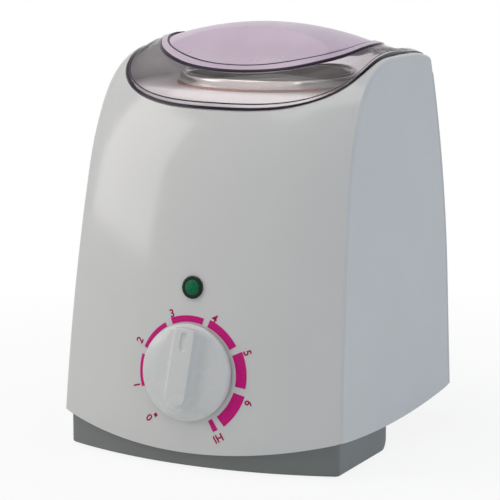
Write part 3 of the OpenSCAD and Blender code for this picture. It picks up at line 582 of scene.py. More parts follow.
def skin_column(profile, axis, turn, t, z0, z1, n):
    """Points and outward normals up the front (turn -1) or back (turn 1) at that part of the half width."""
    pts, normals = [], []
    for s in spread(profile.s_at(z0), profile.s_at(z1), n):
        r, z = profile.point(s)
        x = t * side_at(z)
        y = turn * sqrt(max(r * r - x * x, 0))
        nr, nz = profile.normal(s)
        pts.append(Vector((x, axis + y, z)))
        normals.append(Vector((nr * x / r, nr * y / r, nz)).normalized())
    return pts, normals


def rounded(points, normals, other, r, n):
    """Rows of a rounded edge along points, from faces with those normals to one with the other normal."""
    rows = []
    for p, a in zip(points, normals):
        centre = p - r * (a + other) / (1 + a.dot(other))
        rows.append([centre + r * (a * (1 - f) + other * f).normalized() for f in spread(0, 1, n)])
    return rows


def shell_half(sheet, place):
    """One half of the shell, as it is or flipped."""
    columns = []
    for a in SEAM_ANGLES:
        t = column_part(a)
        low = front_edge_z(t * HALF_LOW)
        columns.append(skin_column(front(), FRONT_AXIS, -1, t, low, seam(a)[1], ROWS)[0])
    edge, normals = skin_column(front(), FRONT_AXIS, -1, 1, CORNER_Z, SHELL_H, ROWS)
    top_start, top_end = edge[-1].y, back_y(HALF_TOP, SHELL_H)
    top = [Vector((HALF_TOP, y, SHELL_H)) for y in spread(top_start, top_end, TOP_STEPS)[1:-1]]
    rear, rear_normals = skin_column(back(), BACK_AXIS, 1, 1, COVER_Z, SHELL_H, REAR_ROWS)
    path = edge + top + rear[::-1]
    path_normals = normals + [Vector((0, 0, 1))] * len(top) + rear_normals[::-1]
    fillet = rounded(path, path_normals, SIDE_NORMAL, EDGE_R, EDGE_STEPS)
    columns.append([row[0] for row in fillet[: ROWS + 1]])
    sheet.grid([place(col) for col in columns])
    sheet.grid([place(row) for row in fillet])
    inner_ys = spread(columns[-2][-1].y, back_y(SEAM_HALF, SHELL_H), TOP_STEPS)[1:-1]
    inner = [Vector((SEAM_HALF, y, SHELL_H)) for y in inner_ys]
    tops = fillet[ROWS : ROWS + len(top) + 2]
    rear_columns = []
    for a in spread(cover_angle(), pi / 2, HORN_COLUMNS):
        column = skin_column(back(), BACK_AXIS, 1, column_part(a), COVER_Z, seam(a)[1], REAR_ROWS)[0]
        rear_columns.append(column)
    rear_columns.append([row[0] for row in fillet[-REAR_ROWS - 1 :]][::-1])
    sheet.grid([place(col) for col in rear_columns])
    strip = [columns[-2][-1]] + inner + [rear_columns[-2][-1]]
    sheet.grid([place(strip), place([row[0] for row in tops])])
    lip = WALL + 0.1
    rear_line = []
    for z in spread(side_edge_z(BACK_Y), fillet[-1][-1].z, REAR_ROWS):
        rear_line.append(Vector((side_at(z), back_y(side_at(z), z, lip), z)))
    bottom = []
    for y in spread(fillet[0][-1].y, rear_line[0].y, BOTTOM_STEPS)[1:-1]:
        z = side_edge_z(y)
        bottom.append(Vector((HALF_LOW - (z - CORNER_Z) * SIDE_SLOPE, y, z)))
    panel = [row[-1] for row in fillet[::-1]] + bottom + rear_line
    sheet.face(place(panel))


def cover_angle():
    return last_true(lambda a: seam(a)[1] < COVER_Z, pi / 2, 40)


shell_sheet = Sheet()
for as_placed in (list, flip):
    shell_half(shell_sheet, as_placed)
shell = make("shell", shell_sheet)
solid(shell, WALL)
soften(shell, 0.3)
shell.modifiers.new("even", "WEIGHTED_NORMAL")
piece(shell, "housing", ["outer_shell"], "white_gloss", white_gloss)


# Back cover between the rear edges of the sides
CORNER_COLUMNS, COVER_GAP = 5, 0.1


def cover_half(sheet, place):
    columns = []
    angles = [a for a in SEAM_ANGLES if a < cover_angle() - 0.01] + [cover_angle()]
    for a in angles:
        t = column_part(a)
        low = front_edge_z(t * HALF_LOW)
        columns.append(skin_column(back(), BACK_AXIS, 1, t, low, seam(a)[1], COVER_ROWS)[0])
    for t in spread(column_part(cover_angle()), 1, CORNER_COLUMNS)[1:]:
        low = front_edge_z(t * HALF_LOW)
        columns.append(skin_column(back(), BACK_AXIS, 1, t, low, COVER_Z - COVER_GAP, COVER_ROWS)[0])
    sheet.grid([place(col) for col in columns])


cover_sheet = Sheet()
for as_placed in (list, flip):
    cover_half(cover_sheet, as_placed)
cover = make("rear_cover", cover_sheet)
solid(cover, WALL)
soften(cover, 0.5, 3)
piece(cover, "housing", ["back_cover"], "white_gloss", white_gloss)


# Deck round the pot with its neck inside the shell
FARTHEST = 120.0


def inside(x, y, z, o):
    if abs(x) > side_at(z) - o:
        return False
    return front_y(x, z, o) < y < back_y(x, z, o)


def reach(angle, z, o):
    return last_true(lambda r: inside(r * cos(angle), POT_Y + r * sin(angle), z, o), FARTHEST)


def deck_ring(z, o, part=1.0, n=160):
    """A ring of the neck at that height, or part of the way in to the pot's hole."""
    hole = POT_R + POT_GAP
    points = []
    for i in range(n):
        a = 2 * pi * i / n
        r = lerp(hole, reach(a, z, o), part)
        points.append((r * cos(a), POT_Y + r * sin(a), z))
    return points


deck_low = DECK_Z - DECK_T
deck_rings = [
    deck_ring(NECK_Z, NECK_INSET + WALL),
    deck_ring(NECK_Z, NECK_INSET),
    deck_ring(lerp(NECK_Z, DECK_Z, 0.5), NECK_INSET),
    deck_ring(DECK_Z - 1.2, NECK_INSET),
    deck_ring(DECK_Z - 0.35, NECK_INSET + 0.35),
    deck_ring(DECK_Z, NECK_INSET + 1.2),
    deck_ring(DECK_Z, NECK_INSET, 0.5),
    deck_ring(DECK_Z, NECK_INSET, 0.06),
    deck_ring(DECK_Z - 0.3, NECK_INSET, 0.015),
    deck_ring(DECK_Z - 0.9, NECK_INSET, 0.0),
    deck_ring(deck_low, NECK_INSET, 0.0),
    deck_ring(deck_low, NECK_INSET + WALL, 1.0),
]
deck_sheet = Sheet()
deck_sheet.loft(deck_rings, wrap=True)
deck = make("pot_deck", deck_sheet)
soften(deck, 0.2)
piece(deck, "housing", ["deck_ring"], "white_gloss", white_gloss)


# Clear lid from the seam up to the collar round the handle
SEAM_STEPS, RIM_DROP, REAR_TOP_Y = 96, 0.02, 40
SIDE_PARTS = (0.25, 0.5, 0.75)


def lid_loop(o):
    points = [seam(a, LID_GAP) for a in spread(-pi / 2, pi / 2, SEAM_STEPS)]
    loop = []
    for x, z in points:
        z = min(z, SHELL_H - o - RIM_DROP)
        y = front_y(x, z, o)
        loop.append(Vector((x, y, z + side_step(x, y))))
    rear = []
    for x, z in points[::-1]:
        z = min(z, top_z(x, REAR_TOP_Y, o) - RIM_DROP)
        y = back_y(x, z, o)
        rear.append(Vector((x, y, z + side_step(x, y))))
    right = [loop[-1].lerp(rear[0], f) for f in SIDE_PARTS]
    left = [rear[-1].lerp(loop[0], f) for f in SIDE_PARTS]
    return loop + right + rear + left


# Lid slots: clear plastic, near-black lines of painted shade along the rim and collar, and lilac.
CLEAR, PAINTED_SHADE, MILKY = 0, 1, 2
RIM_LINES = [(0.8, PAINTED_SHADE), (1.6, CLEAR), (2.0, PAINTED_SHADE)]
COLLAR_EDGE, RING_POWER = 0.9, 1.35


def oval_point(p, grow):
    """The point of the grown oval that lies in the direction of p from the handle's middle."""
    a = atan2((p.y - HANDLE_Y) / HANDLE_B, p.x / HANDLE_A)
    return (HANDLE_A + grow) * cos(a), HANDLE_Y + (HANDLE_B + grow) * sin(a)


def lid_rings(loop, o, grow, n):
    """Rings from the rim to the grown oval, the first ones where the lines along the rim begin and end."""
    rings = [loop]
    steps = [(far, 0) for far, _ in RIM_LINES]
    steps += [(RIM_LINES[-1][0], (i / n) ** RING_POWER) for i in range(1, n + 1)]
    for far, part in steps:
        ring = []
        for p in loop:
            qx, qy = oval_point(p, grow)
            f = lerp(far / hypot(qx - p.x, qy - p.y), 1, part)
            x, y = lerp(p.x, qx, f), lerp(p.y, qy, f)
            ring.append(Vector((x, y, lid_z(x, y, o))))
        rings.append(ring)
    return rings


def collar_ring(loop, grow, rise, o=0.0):
    ring = []
    for p in loop:
        x, y = oval_point(p, grow)
        ring.append(Vector((x, y, lid_z(x, y, o) + rise)))
    return ring


# The collar's walls and edges are lines of painted shade; its top band is lilac.
COLLAR_PROFILE = [
    (COLLAR_W + 0.08, 0.12, PAINTED_SHADE), (COLLAR_W, 0.3, PAINTED_SHADE), (COLLAR_W - 0.15, COLLAR_H - 0.1, PAINTED_SHADE),
    (COLLAR_W - 0.4, COLLAR_H, PAINTED_SHADE), (COLLAR_W - COLLAR_EDGE, COLLAR_H, MILKY),
    (COLLAR_EDGE, COLLAR_H, PAINTED_SHADE), (0.45, COLLAR_H, PAINTED_SHADE), (0.2, COLLAR_H - 0.08, PAINTED_SHADE),
    (0.1, COLLAR_H - 0.3, PAINTED_SHADE),
]
LID_STEPS = 26
outer_loop, inner_loop = lid_loop(0.0), lid_loop(LID_T)
lid_outer = lid_rings(outer_loop, 0.0, COLLAR_W + 0.35, LID_STEPS)
lid_collar = [collar_ring(outer_loop, grow, rise) for grow, rise, _ in COLLAR_PROFILE]
lid_collar.append(collar_ring(outer_loop, 0.1, 0.0, LID_T))
lid_inner = lid_rings(inner_loop, LID_T, 0.3, LID_STEPS)[::-1]
lid_slots = [slot for _, slot in RIM_LINES] + [CLEAR] * LID_STEPS
lid_slots += [PAINTED_SHADE] + [slot for _, _, slot in COLLAR_PROFILE]
lid_slots += [CLEAR] * len(lid_inner) + [PAINTED_SHADE]
lid_sheet = Sheet()
lid_sheet.loft(lid_outer + lid_collar + lid_inner, wrap=True, slots=lid_slots)
lid = make("lid", lid_sheet)
soften(lid, 0.25)
piece(lid, "lid", ["lid_cover"], "clear_plastic", clear_plastic, lid_edge_shade, lilac_plastic)

# Lilac handle: the dome goes on in its crest, with a finger scoop in front and behind
CREST_Z = DOME_Z + HANDLE_UP


def crest_point(half):
    return Vector((-half, CREST_Z - bow_drop(half, DOME_SIDE_R)))


SCOOP_LOW, SCOOP_HIGH = crest_point(HANDLE_B), crest_point(CREST_HALF_W)
SCOOP_CHORD = (SCOOP_HIGH - SCOOP_LOW).length
SCOOP_SIDE = Vector((SCOOP_LOW.y - SCOOP_HIGH.y, SCOOP_HIGH.x - SCOOP_LOW.x)) / SCOOP_CHORD
SCOOP_CENTRE = (SCOOP_LOW + SCOOP_HIGH) / 2 + SCOOP_SIDE * sqrt(SCOOP_R**2 - (SCOOP_CHORD / 2) ** 2)
HANDLE_COLUMNS, CREST_STEPS, SCOOP_STEPS, NO_SCOOP = 120, 20, 16, 0.01


def scoop_z(v, o):
    return SCOOP_CENTRE.y - sqrt(max((SCOOP_R + o) ** 2 - (abs(v) + SCOOP_CENTRE.x) ** 2, 0))


def roof_z(x, v, o):
    return dome_z(x, HANDLE_Y + v, o - HANDLE_UP)


def crest_end(x, half, o):
    """How far from the middle the crest ends and the scoop begins, at most that half width."""
    return last_true(lambda v: scoop_z(v, o) > roof_z(x, v, o), half)


def handle_columns(o, inset):
    """Points of the handle's top drawn in by o, from front to back in each column along X."""
    columns = []
    a, b = HANDLE_A - o - inset, HANDLE_B - o - inset
    for i in range(HANDLE_COLUMNS + 1):
        x = -a * cos(pi * i / HANDLE_COLUMNS)
        half = b * sin(pi * i / HANDLE_COLUMNS)
        edge = crest_end(x, half, o)
        crest = [(v, roof_z(x, v, o)) for v in spread(-edge, edge, CREST_STEPS)]
        if half - edge > NO_SCOOP:
            rear_side = [(v, scoop_z(v, o)) for v in spread(edge, half, SCOOP_STEPS)[1:]]
            front_side = [(-v, z) for v, z in rear_side[::-1]]
        else:
            front_side, rear_side = [crest[0]] * SCOOP_STEPS, [crest[-1]] * SCOOP_STEPS
        columns.append([(x, HANDLE_Y + v, z) for v, z in front_side + crest + rear_side])
    return columns


def rim_loop(columns):
    return [col[0] for col in columns] + [col[-1] for col in columns[::-1]]


def lowered(loop, drop):
    return [(x, y, z - drop) for x, y, z in loop]


def under_lid(loop, o):
    return [(x, y, lid_z(x, y, o)) for x, y, _ in loop]


handle_top, handle_under = handle_columns(0, 0.5), handle_columns(HANDLE_T, 0)
middle_loop, outer_rim = rim_loop(handle_columns(0, 0.15)), rim_loop(handle_columns(0, 0))
skirt_low = LID_T + 0.1 + TAB_T
handle_sheet = Sheet()
handle_sheet.grid(handle_top)
handle_sheet.grid(handle_under)
handle_sheet.loft([
    rim_loop(handle_top), lowered(middle_loop, 0.15), lowered(outer_rim, 0.5),
    under_lid(outer_rim, skirt_low), under_lid(rim_loop(handle_under), skirt_low), rim_loop(handle_under),
])
handle = make("handle", handle_sheet, weld=0.01)
crease(handle, 12)
piece(handle, "lid", ["lid_handle"], "lilac_plastic", lilac_plastic)

# Lift-out pot with a rolled rim
POT_FLOOR = DECK_Z - POT_DEPTH
rim_top = DECK_Z + RIM_H
rim_out = POT_R + RIM_W
roll = (rim_out - POT_R + POT_WALL) / 2
roll_at = (rim_out - roll, rim_top - roll)
inner_r = POT_R - POT_WALL
pot_profile = (
    [(0.3, POT_FLOOR + POT_WALL), (inner_r - 5, POT_FLOOR + POT_WALL)]
    + bend((inner_r - 4, POT_FLOOR + POT_WALL + 4), 4, -90, 0, 8)
    + [(inner_r, lerp(POT_FLOOR, DECK_Z, f)) for f in (0.2, 0.4, 0.6, 0.8)]
    + bend(roll_at, roll, 180, 0, 16)
    + [(rim_out, DECK_Z + 0.7)]
    + bend((rim_out - POT_WALL / 2, DECK_Z + 0.7), POT_WALL / 2, 0, -180, 6)
    + bend(roll_at, roll - POT_WALL, 0, 150, 10)
    + [(POT_R, roll_at[1] - 2)]
    + [(POT_R, lerp(POT_FLOOR, DECK_Z, f)) for f in (0.9, 0.6, 0.3)]
    + bend((POT_R - 5, POT_FLOOR + 5), 5, 0, -90, 8)
    + [(0.3, POT_FLOOR)]
)
pot_sheet = Sheet()
pot_sheet.lathe(pot_profile, lambda x, y, z: (x, POT_Y + y, z), 144)
pot = make("pot", pot_sheet)
soften(pot, 0.1)
piece(pot, "pot", ["inner_pot"], "bright_metal", bright_metal)

# Red seal ring that shows under the pot's rim
SEAL_OUT, SEAL_H = 1.1, 0.7
seal_r = rim_out + SEAL_OUT - SEAL_H / 2
seal_in = POT_R + POT_GAP + 0.4
seal_profile = [(seal_in, DECK_Z + 0.05), (seal_in, DECK_Z + 0.4), (seal_r, DECK_Z + 0.4)]
seal_profile += bend((seal_r, DECK_Z + SEAL_H / 2), SEAL_H / 2, 60, -80, 6)
seal_sheet = Sheet()
seal_sheet.lathe(seal_profile, lambda x, y, z: (x, POT_Y + y, z), 144, wrap=True)
seal = make("pot_seal", seal_sheet)
piece(seal, "housing", [], "silicone", silicone)

# Grey base: a full-width foot, a narrow tail and a flange under the shell
FOOT_Y, TAIL_Y = FRONT_Y + FOOT_LEN, BACK_Y - TAIL_SHORT
FRONT_CORNER_R, REAR_CORNER_R, TAIL_CORNER_R, TAIL_IN = 2.2, 1.5, 3, 8
OUTLINE_STEPS = 40


def plan_corner(prev, corner, after, r, n=6):
    a, b = (prev - corner).normalized(), (after - corner).normalized()
    half = a.angle(b) / 2
    centre = corner + (a + b).normalized() * r / sin(half)
    start, end = corner + a * r / tan(half) - centre, corner + b * r / tan(half) - centre
    return [centre + start.lerp(end, f).normalized() * r for f in spread(0, 1, n)]


def base_outline(inset, z, rear, bowed_rear=False):
    half = HALF_LOW - inset
    xs = spread(-half, half, OUTLINE_STEPS)
    front_line = [Vector((x, front_y(x, min(z, CORNER_Z), inset))) for x in xs]
    left, right = Vector((-half, rear)), Vector((half, rear))
    if bowed_rear:
        rear_line = [Vector((x, back_y(x, z, inset))) for x in xs[::-1]]
        right, left = rear_line[0], rear_line[-1]
        middle = rear_line[1:-1]
    else:
        middle = [Vector((x, rear)) for x in xs[-2:0:-1]]
    outline = plan_corner(left, front_line[0], front_line[1], FRONT_CORNER_R)
    outline += front_line[1:-1]
    outline += plan_corner(front_line[-2], front_line[-1], right, FRONT_CORNER_R)
    outline += [front_line[-1].lerp(right, f) for f in spread(0.1, 0.9, 8)]
    outline += plan_corner(front_line[-1], right, middle[0], REAR_CORNER_R)
    outline += middle
    outline += plan_corner(middle[-1], left, front_line[0], REAR_CORNER_R)
    outline += [left.lerp(front_line[0], f) for f in spread(0.1, 0.9, 8)]
    return outline


def foot_rear(z):
    up = min(z - BASE_Z, FOOT_EDGE_R)
    return FOOT_Y - FOOT_EDGE_R + sqrt(FOOT_EDGE_R**2 - (FOOT_EDGE_R - up) ** 2)


LOWER_R = 1.2
base_sheet = Sheet()
levels = [(BASE_Z + LOWER_R * (1 - cos(a)), LOWER_R * (1 - sin(a))) for a in spread(0, pi / 2, 5)]
levels += [(z, 0.0) for z in (3, 4, 5, 6, 7, 10, 14, BASE_TOP)]
base_sheet.loft(
    [[(p.x, p.y, z) for p in base_outline(BASE_INSET + o, z, foot_rear(z))] for z, o in levels],
    cap_start=True, cap_end=True,
)


def tail_outline(inset):
    half, far = TAIL_HALF_W - inset, TAIL_Y - inset
    start = FOOT_Y - TAIL_IN
    corners = [Vector((-half, start)), Vector((half, start)), Vector((half, far)), Vector((-half, far))]
    outline = []
    for i in range(4):
        outline += plan_corner(corners[i - 1], corners[i], corners[(i + 1) % 4], TAIL_CORNER_R)
    return outline


base_sheet.loft([[(p.x, p.y, z) for p in tail_outline(o)] for z, o in levels], cap_start=True, cap_end=True)
base_sheet.loft(
    [
        [(p.x, p.y, z) for p in base_outline(BASE_INSET + o, CORNER_Z, 0, True)]
        for z, o in ((FLANGE_Z, 0.4), (FLANGE_Z + 0.4, 0), (BASE_TOP - 0.2, 0), (BASE_TOP - 0.05, 0.3))
    ],
    cap_start=True, cap_end=True,
)
base = make("base", base_sheet, weld=0.0005)
soften(base, 0.3)
piece(base, "housing", ["base_tray"], "grey_plastic", grey_plastic)

# Rubber feet with a rounded lower edge and a shallow dish
feet_sheet = Sheet()
FRONT_PAD_X, FRONT_PAD_IN, REAR_PAD_X, REAR_PAD_IN = 46, 5, 26, 12
pad_places = [(x, FRONT_Y + FRONT_PAD_IN) for x in (-FRONT_PAD_X, FRONT_PAD_X)]
pad_places += [(x, TAIL_Y - REAR_PAD_IN) for x in (-REAR_PAD_X, REAR_PAD_X)]
pad_profile = (
    [(0.2, 0.35), (PAD_R - 2.6, 0.35), (PAD_R - 2.2, 0.05), (PAD_R - 2.0, 0)]
    + bend((PAD_R - 0.6, 0.6), 0.6, -90, 0, 5)
    + [(PAD_R, PAD_TOP), (0.2, PAD_TOP)]
)
for px, py in pad_places:
    feet_sheet.lathe(pad_profile, lambda x, y, z, px=px, py=py: (px + x, py + y, z), 48)
feet = make("feet", feet_sheet)
soften(feet, 0.1)
piece(feet, "housing", ["rubber_feet"], "black_rubber", black_rubber)

# Cord gland with ribs round its outer part
gland_y = BACK_Y + BACK_BOW
gland_end, gland_rib = -WALL - GLAND_IN, GLAND_NECK_R + 0.4
gland_profile = [
    (GLAND_BORE_R, gland_end), (GLAND_NECK_R - 0.6, gland_end), (GLAND_NECK_R, gland_end + 0.6),
    (GLAND_NECK_R, 0.1), (GLAND_FLANGE_R - 0.5, 0.1), (GLAND_FLANGE_R, 0.6), (GLAND_FLANGE_R, 1.6),
    (GLAND_FLANGE_R - 0.6, 2.2), (gland_rib + 0.4, 2.4), (gland_rib, 2.8), (gland_rib, 3.5),
    (GLAND_NECK_R, GLAND_OUT), (GLAND_BORE_R + 0.7, GLAND_OUT), (GLAND_BORE_R, GLAND_OUT - 0.7),
]
gland_sheet = Sheet()
gland_sheet.lathe(gland_profile, lambda x, y, z: (x, gland_y + z, GLAND_Z + y), 64, wrap=True)
gland = make("gland", gland_sheet)
soften(gland, 0.12)
piece(gland, "housing", ["cord_gland"], "black_rubber", black_rubber)


# The dial's own frame: u to the right, v up along the front, w out of it
def front_lean(z):
    nr, nz = front().normal(front().s_at(z))
    return atan2(nz, nr)


def on_dial(z):
    y, lean = front_y(0, z), front_lean(z)
    return lambda u, v, w: (u, y + v * sin(lean) - w * cos(lean), z + v * cos(lean) + w * sin(lean))


def turned(place, angle):
    return lambda u, v, w: place(u * cos(angle) + v * sin(angle), v * cos(angle) - u * sin(angle), w)


def bar_outline(grow, n=192):
    """The grip bar's outline grown by that much: round lower end, straight sides, upper end on a circle."""
    half = GRIP_W / 2 + grow
    end = min(GRIP_R + grow, KNOB_R - 1.3)
    low = Vector((0, GRIP_W / 2 - GRIP_LOW))
    corner = Vector((half, sqrt(end * end - half * half)))
    line = [low + Vector((sin(a), -cos(a))) * half for a in spread(0, pi / 2, 16)]
    line += [Vector((half, v)) for v in spread(low.y, corner.y, 24)][1:-1]
    on_end = Vector((half - 1, sqrt(end * end - (half - 1) ** 2)))
    soft = plan_corner(Vector((half, 0)), corner, on_end, min(1.6, half * 0.4))
    line += soft
    top_a = atan2(soft[-1].x, soft[-1].y)
    line += [Vector((sin(a), cos(a))) * end for a in spread(top_a, 0, 8)][1:]
    lengths = np.concatenate([[0], np.cumsum([(b - a).length for a, b in zip(line, line[1:])])])
    xs, ys = np.array([p.x for p in line]), np.array([p.y for p in line])
    at = [lengths[-1] * i / (n // 2) for i in range(n // 2 + 1)]
    right = [Vector((float(np.interp(s, lengths, xs)), float(np.interp(s, lengths, ys)))) for s in at]
    return right + [Vector((-p.x, p.y)) for p in right[-2:0:-1]]


def circle(r, n=192):
    return [Vector((r * sin(2 * pi * i / n), -r * cos(2 * pi * i / n))) for i in range(n)]


def between(a, b, f):
    return [p.lerp(q, f) for p, q in zip(a, b)]


knob_place = turned(on_dial(DIAL_Z), KNOB_TURN)
FACE_R, EDGE_H = KNOB_R - 1.5, 3.1
FOOT_GROW = 4.6
UNDER_PROFILE = [(6.0, 2), (KNOB_R - 3.5, 2), (KNOB_R - 2.4, 1.6), (KNOB_R - 2.0, 0.8)]
EDGE_PROFILE = [(KNOB_R - 1.6, KNOB_GAP), (KNOB_R - 0.4, KNOB_GAP), (KNOB_R - 0.1, 0.5), (KNOB_R, 0.8)]
EDGE_PROFILE += [(KNOB_R - 0.05, 1.9), (KNOB_R - 0.2, 2.4), (KNOB_R - 0.6, 2.8), (FACE_R, EDGE_H)]
FLANK_PROFILE = [(3.4, 0.12), (2.5, 0.38), (1.8, 0.8), (1.2, 1.45), (0.75, 2.3), (0.4, 3.2), (0.15, 4.2)]
TOP_PROFILE = [(0, 0.35), (-0.05, 0.18), (-0.15, 0.06), (-0.3, 0), (-1, 0), (-2.2, 0), (-3.8, 0)]
knob_rings = [(circle(r), w) for r, w in UNDER_PROFILE + EDGE_PROFILE]
for f in spread(0.03, 1, 8):
    ring = between(circle(FACE_R), bar_outline(FOOT_GROW), f)
    knob_rings.append((ring, lerp(EDGE_H, KNOB_H, sin(pi / 2 * f))))
knob_rings += [(bar_outline(g), KNOB_H + h) for g, h in FLANK_PROFILE]
knob_rings += [(bar_outline(g), GRIP_H - d) for g, d in TOP_PROFILE]
knob_sheet = Sheet()
knob_loops = [[knob_place(p.x, p.y, w) for p in ring] for ring, w in knob_rings]
knob_sheet.loft(knob_loops, cap_start=True, cap_end=True)
knob = make("knob", knob_sheet, weld=0.0005)


def slot_outline(grow, n=14):
    r = MARK_W / 2 + grow
    high, low = GRIP_R - MARK_END - MARK_W / 2, GRIP_R - MARK_END - MARK_LEN + MARK_W / 2
    turns = spread(0, pi, n)
    upper = [Vector((r * cos(a), high + r * sin(a))) for a in turns]
    lower = [Vector((-r * cos(a), low - r * sin(a))) for a in turns]
    return upper + lower


mark_sheet = Sheet()
mark_levels = ((-0.5, -MARK_DEPTH), (-0.15, -MARK_DEPTH + 0.1), (0.0, -0.3), (0.25, 0.0), (0.8, 0.5))
mark_loops = [[knob_place(p.x, p.y, GRIP_H + w) for p in slot_outline(g)] for g, w in mark_levels]
mark_sheet.loft(mark_loops, cap_start=True, cap_end=True)
knob = cut(knob, make("mark", mark_sheet))
crease(knob, 35)
piece(knob, "dial", ["dial_knob"], "white_gloss", knob_white)

# Pilot lamp: a dark rim and a prismatic lens
lamp_place = on_dial(LAMP_Z)
LENS_R = 3.75
rim_profile = [
    (LAMP_R - 0.3, 0.05), (LAMP_R, 0.3), (LAMP_R, LENS_LIP), (LAMP_R - 0.25, 1.2), (LAMP_R - 0.8, 1.45),
    (LENS_R + 0.3, 1.5), (LENS_R, 1.3), (LENS_R - 0.05, 0.9), (LENS_R - 0.05, 0.05),
]
lamp_rim_sheet = Sheet()
lamp_rim_sheet.lathe(rim_profile, lamp_place, 72, wrap=True)
lamp_rim = make("lamp_rim", lamp_rim_sheet)
piece(lamp_rim, "housing", ["lamp_lens"], "green_lens", green_ring)

PRISM, PRISM_H, LENS_DROP = 0.85, 0.16, 0.9
LENS_STEPS, LENS_TURNS, LENS_FLOOR = 32, 96, 0.2


def prism(x, y):
    return PRISM_H * (abs((x / PRISM) % 1 - 0.5) + abs((y / PRISM) % 1 - 0.5))


def lens_point(r, k, floor=False):
    a = 2 * pi * k / LENS_TURNS
    x, y = r * cos(a), r * sin(a)
    dome = LENS_RISE - 0.5 - LENS_DROP * (r / LENS_R) ** 2 + prism(x, y)
    return lamp_place(x, y, LENS_FLOOR if floor else dome)


lens_rings = []
for i in range(1, LENS_STEPS + 1):
    lens_rings.append([lens_point(LENS_R * i / LENS_STEPS, k) for k in range(LENS_TURNS)])
lens_rings.append([lens_point(LENS_R, k, floor=True) for k in range(LENS_TURNS)])
lens_sheet = Sheet()
lens_sheet.loft(lens_rings, cap_start=True, cap_end=True)
lens = make("lamp_lens_dome", lens_sheet, smooth=False)
piece(lens, "housing", [], "green_lens", green_lens)


# Dial print: arcs that grow thicker towards the hot end, numbers and a dot
def on_front(u, v, lift):
    z = DIAL_Z + (v - PRINT_DROP) * cos(front_lean(DIAL_Z))
    lean, r = front_lean(z), front().r_at(z)
    y = front_y(u, z)
    out = Vector((u / r * cos(lean), (y - FRONT_AXIS) / r * cos(lean), sin(lean)))
    return Vector((u, y, z)) + out * lift


PRINT_LIFT, PRINT_DROP = 0.07, 0.9
ARC_IN = 25.0
SCALE_ARCS = [
    (-109.5, -75, 2.0), (-67.2, -30.4, 2.2), (-22.9, 14.4, 3.1),
    (20.9, 57.6, 3.8), (64.5, 98.8, 5.3), (105.6, 139.7, 5.9),
]
HI_ANGLE, HI_FROM, HI_TO, HI_W = 148.8, 24.5, 30.4, 2.2
ZERO_ANGLE, ZERO_R, ZERO_HALF = radians(-142.3), 27.7, 1.25
scale_sheet, number_sheet = Sheet(), Sheet()


def print_band(a0, a1, r0, r1, steps):
    rows = []
    for f in spread(0, 1, 3):
        r = lerp(r0, r1, f)
        turns = spread(radians(a0), radians(a1), steps)
        rows.append([on_front(r * sin(a), r * cos(a), PRINT_LIFT) for a in turns])
    scale_sheet.grid(rows)


for a0, a1, thick in SCALE_ARCS:
    print_band(a0, a1, ARC_IN, ARC_IN + thick, 20)
hi_half = HI_W / 2 / HI_FROM * 180 / pi
print_band(HI_ANGLE - hi_half, HI_ANGLE + hi_half, HI_FROM, HI_TO, 4)
zero_u, zero_v = ZERO_R * sin(ZERO_ANGLE), ZERO_R * cos(ZERO_ANGLE)
diamond = [(ZERO_HALF, 0), (0, ZERO_HALF), (-ZERO_HALF, 0), (0, -ZERO_HALF)]
number_sheet.face([on_front(zero_u + u, zero_v + v, PRINT_LIFT) for u, v in diamond])
DIAL_WORDS = [
    ("0", -139, 31.4), ("1", -107, 29.9), ("2", -64.6, 31), ("3", -20.4, 30.1),
    ("4", 24.4, 30.5), ("5", 67.1, 32.6), ("6", 109.7, 33.7), ("HI", 149.6, 34.2),
]
NUMBER_H, STROKE_GROW = 3.9, 0.02


def print_word(word, angle, r):
    curve = bpy.data.curves.new("word", "FONT")
    curve.body = word
    curve.align_x = "CENTER"
    curve.align_y = "CENTER"
    curve.offset = STROKE_GROW
    holder = bpy.data.objects.new("word", curve)
    bpy.context.scene.collection.objects.link(holder)
    bpy.context.view_layer.update()
    mesh = bpy.data.meshes.new_from_object(holder.evaluated_get(bpy.context.evaluated_depsgraph_get()))
    ys = [v.co.y for v in mesh.vertices]
    size = NUMBER_H / (max(ys) - min(ys))
    middle = (max(ys) + min(ys)) / 2
    a = radians(angle)
    points = []
    for v in mesh.vertices:
        x, y = v.co.x * size, (v.co.y - middle) * size
        points.append(on_front((r + y) * sin(a) + x * cos(a), (r + y) * cos(a) - x * sin(a), PRINT_LIFT))
    ids = number_sheet.add(points)
    for poly in mesh.polygons:
        number_sheet.join([ids[i] for i in poly.vertices])
    bpy.data.objects.remove(holder)
    bpy.data.meshes.remove(mesh)


for word, angle, r in DIAL_WORDS:
    print_word(word, angle, r)
prints = [("dial_scale", scale_sheet, print_pink), ("dial_numbers", number_sheet, print_crimson)]
for name, sheet, mat in prints:
    printed = make(name, sheet, smooth=False)
    solid(printed, 0.1, 0)
    piece(printed, "housing", [], "white_gloss", mat)

# Every other solid keeps its form and gets the material of its slot
for part in frame["record"]["subparts"]:
    node = frame["nodes"][part["node"]]
    node.data.materials.clear()
    node.data.materials.append(SLOT_MATERIALS[part["material_slot"]])


# Floor, light and camera
SHADOW_NEAR, SHADOW_FAR, NEAR_WHITE = 0.12, 0.4, 0.88


def seen_ray(nodes, links):
    """1 for rays by which the background is seen: straight, in a reflection or through something clear."""
    rays = nodes.new("ShaderNodeLightPath")
    value = rays.outputs["Is Camera Ray"]
    for kind in ("Is Glossy Ray", "Is Transmission Ray"):
        value = add_math(nodes, links, "MAXIMUM", value, rays.outputs[kind])
    return value


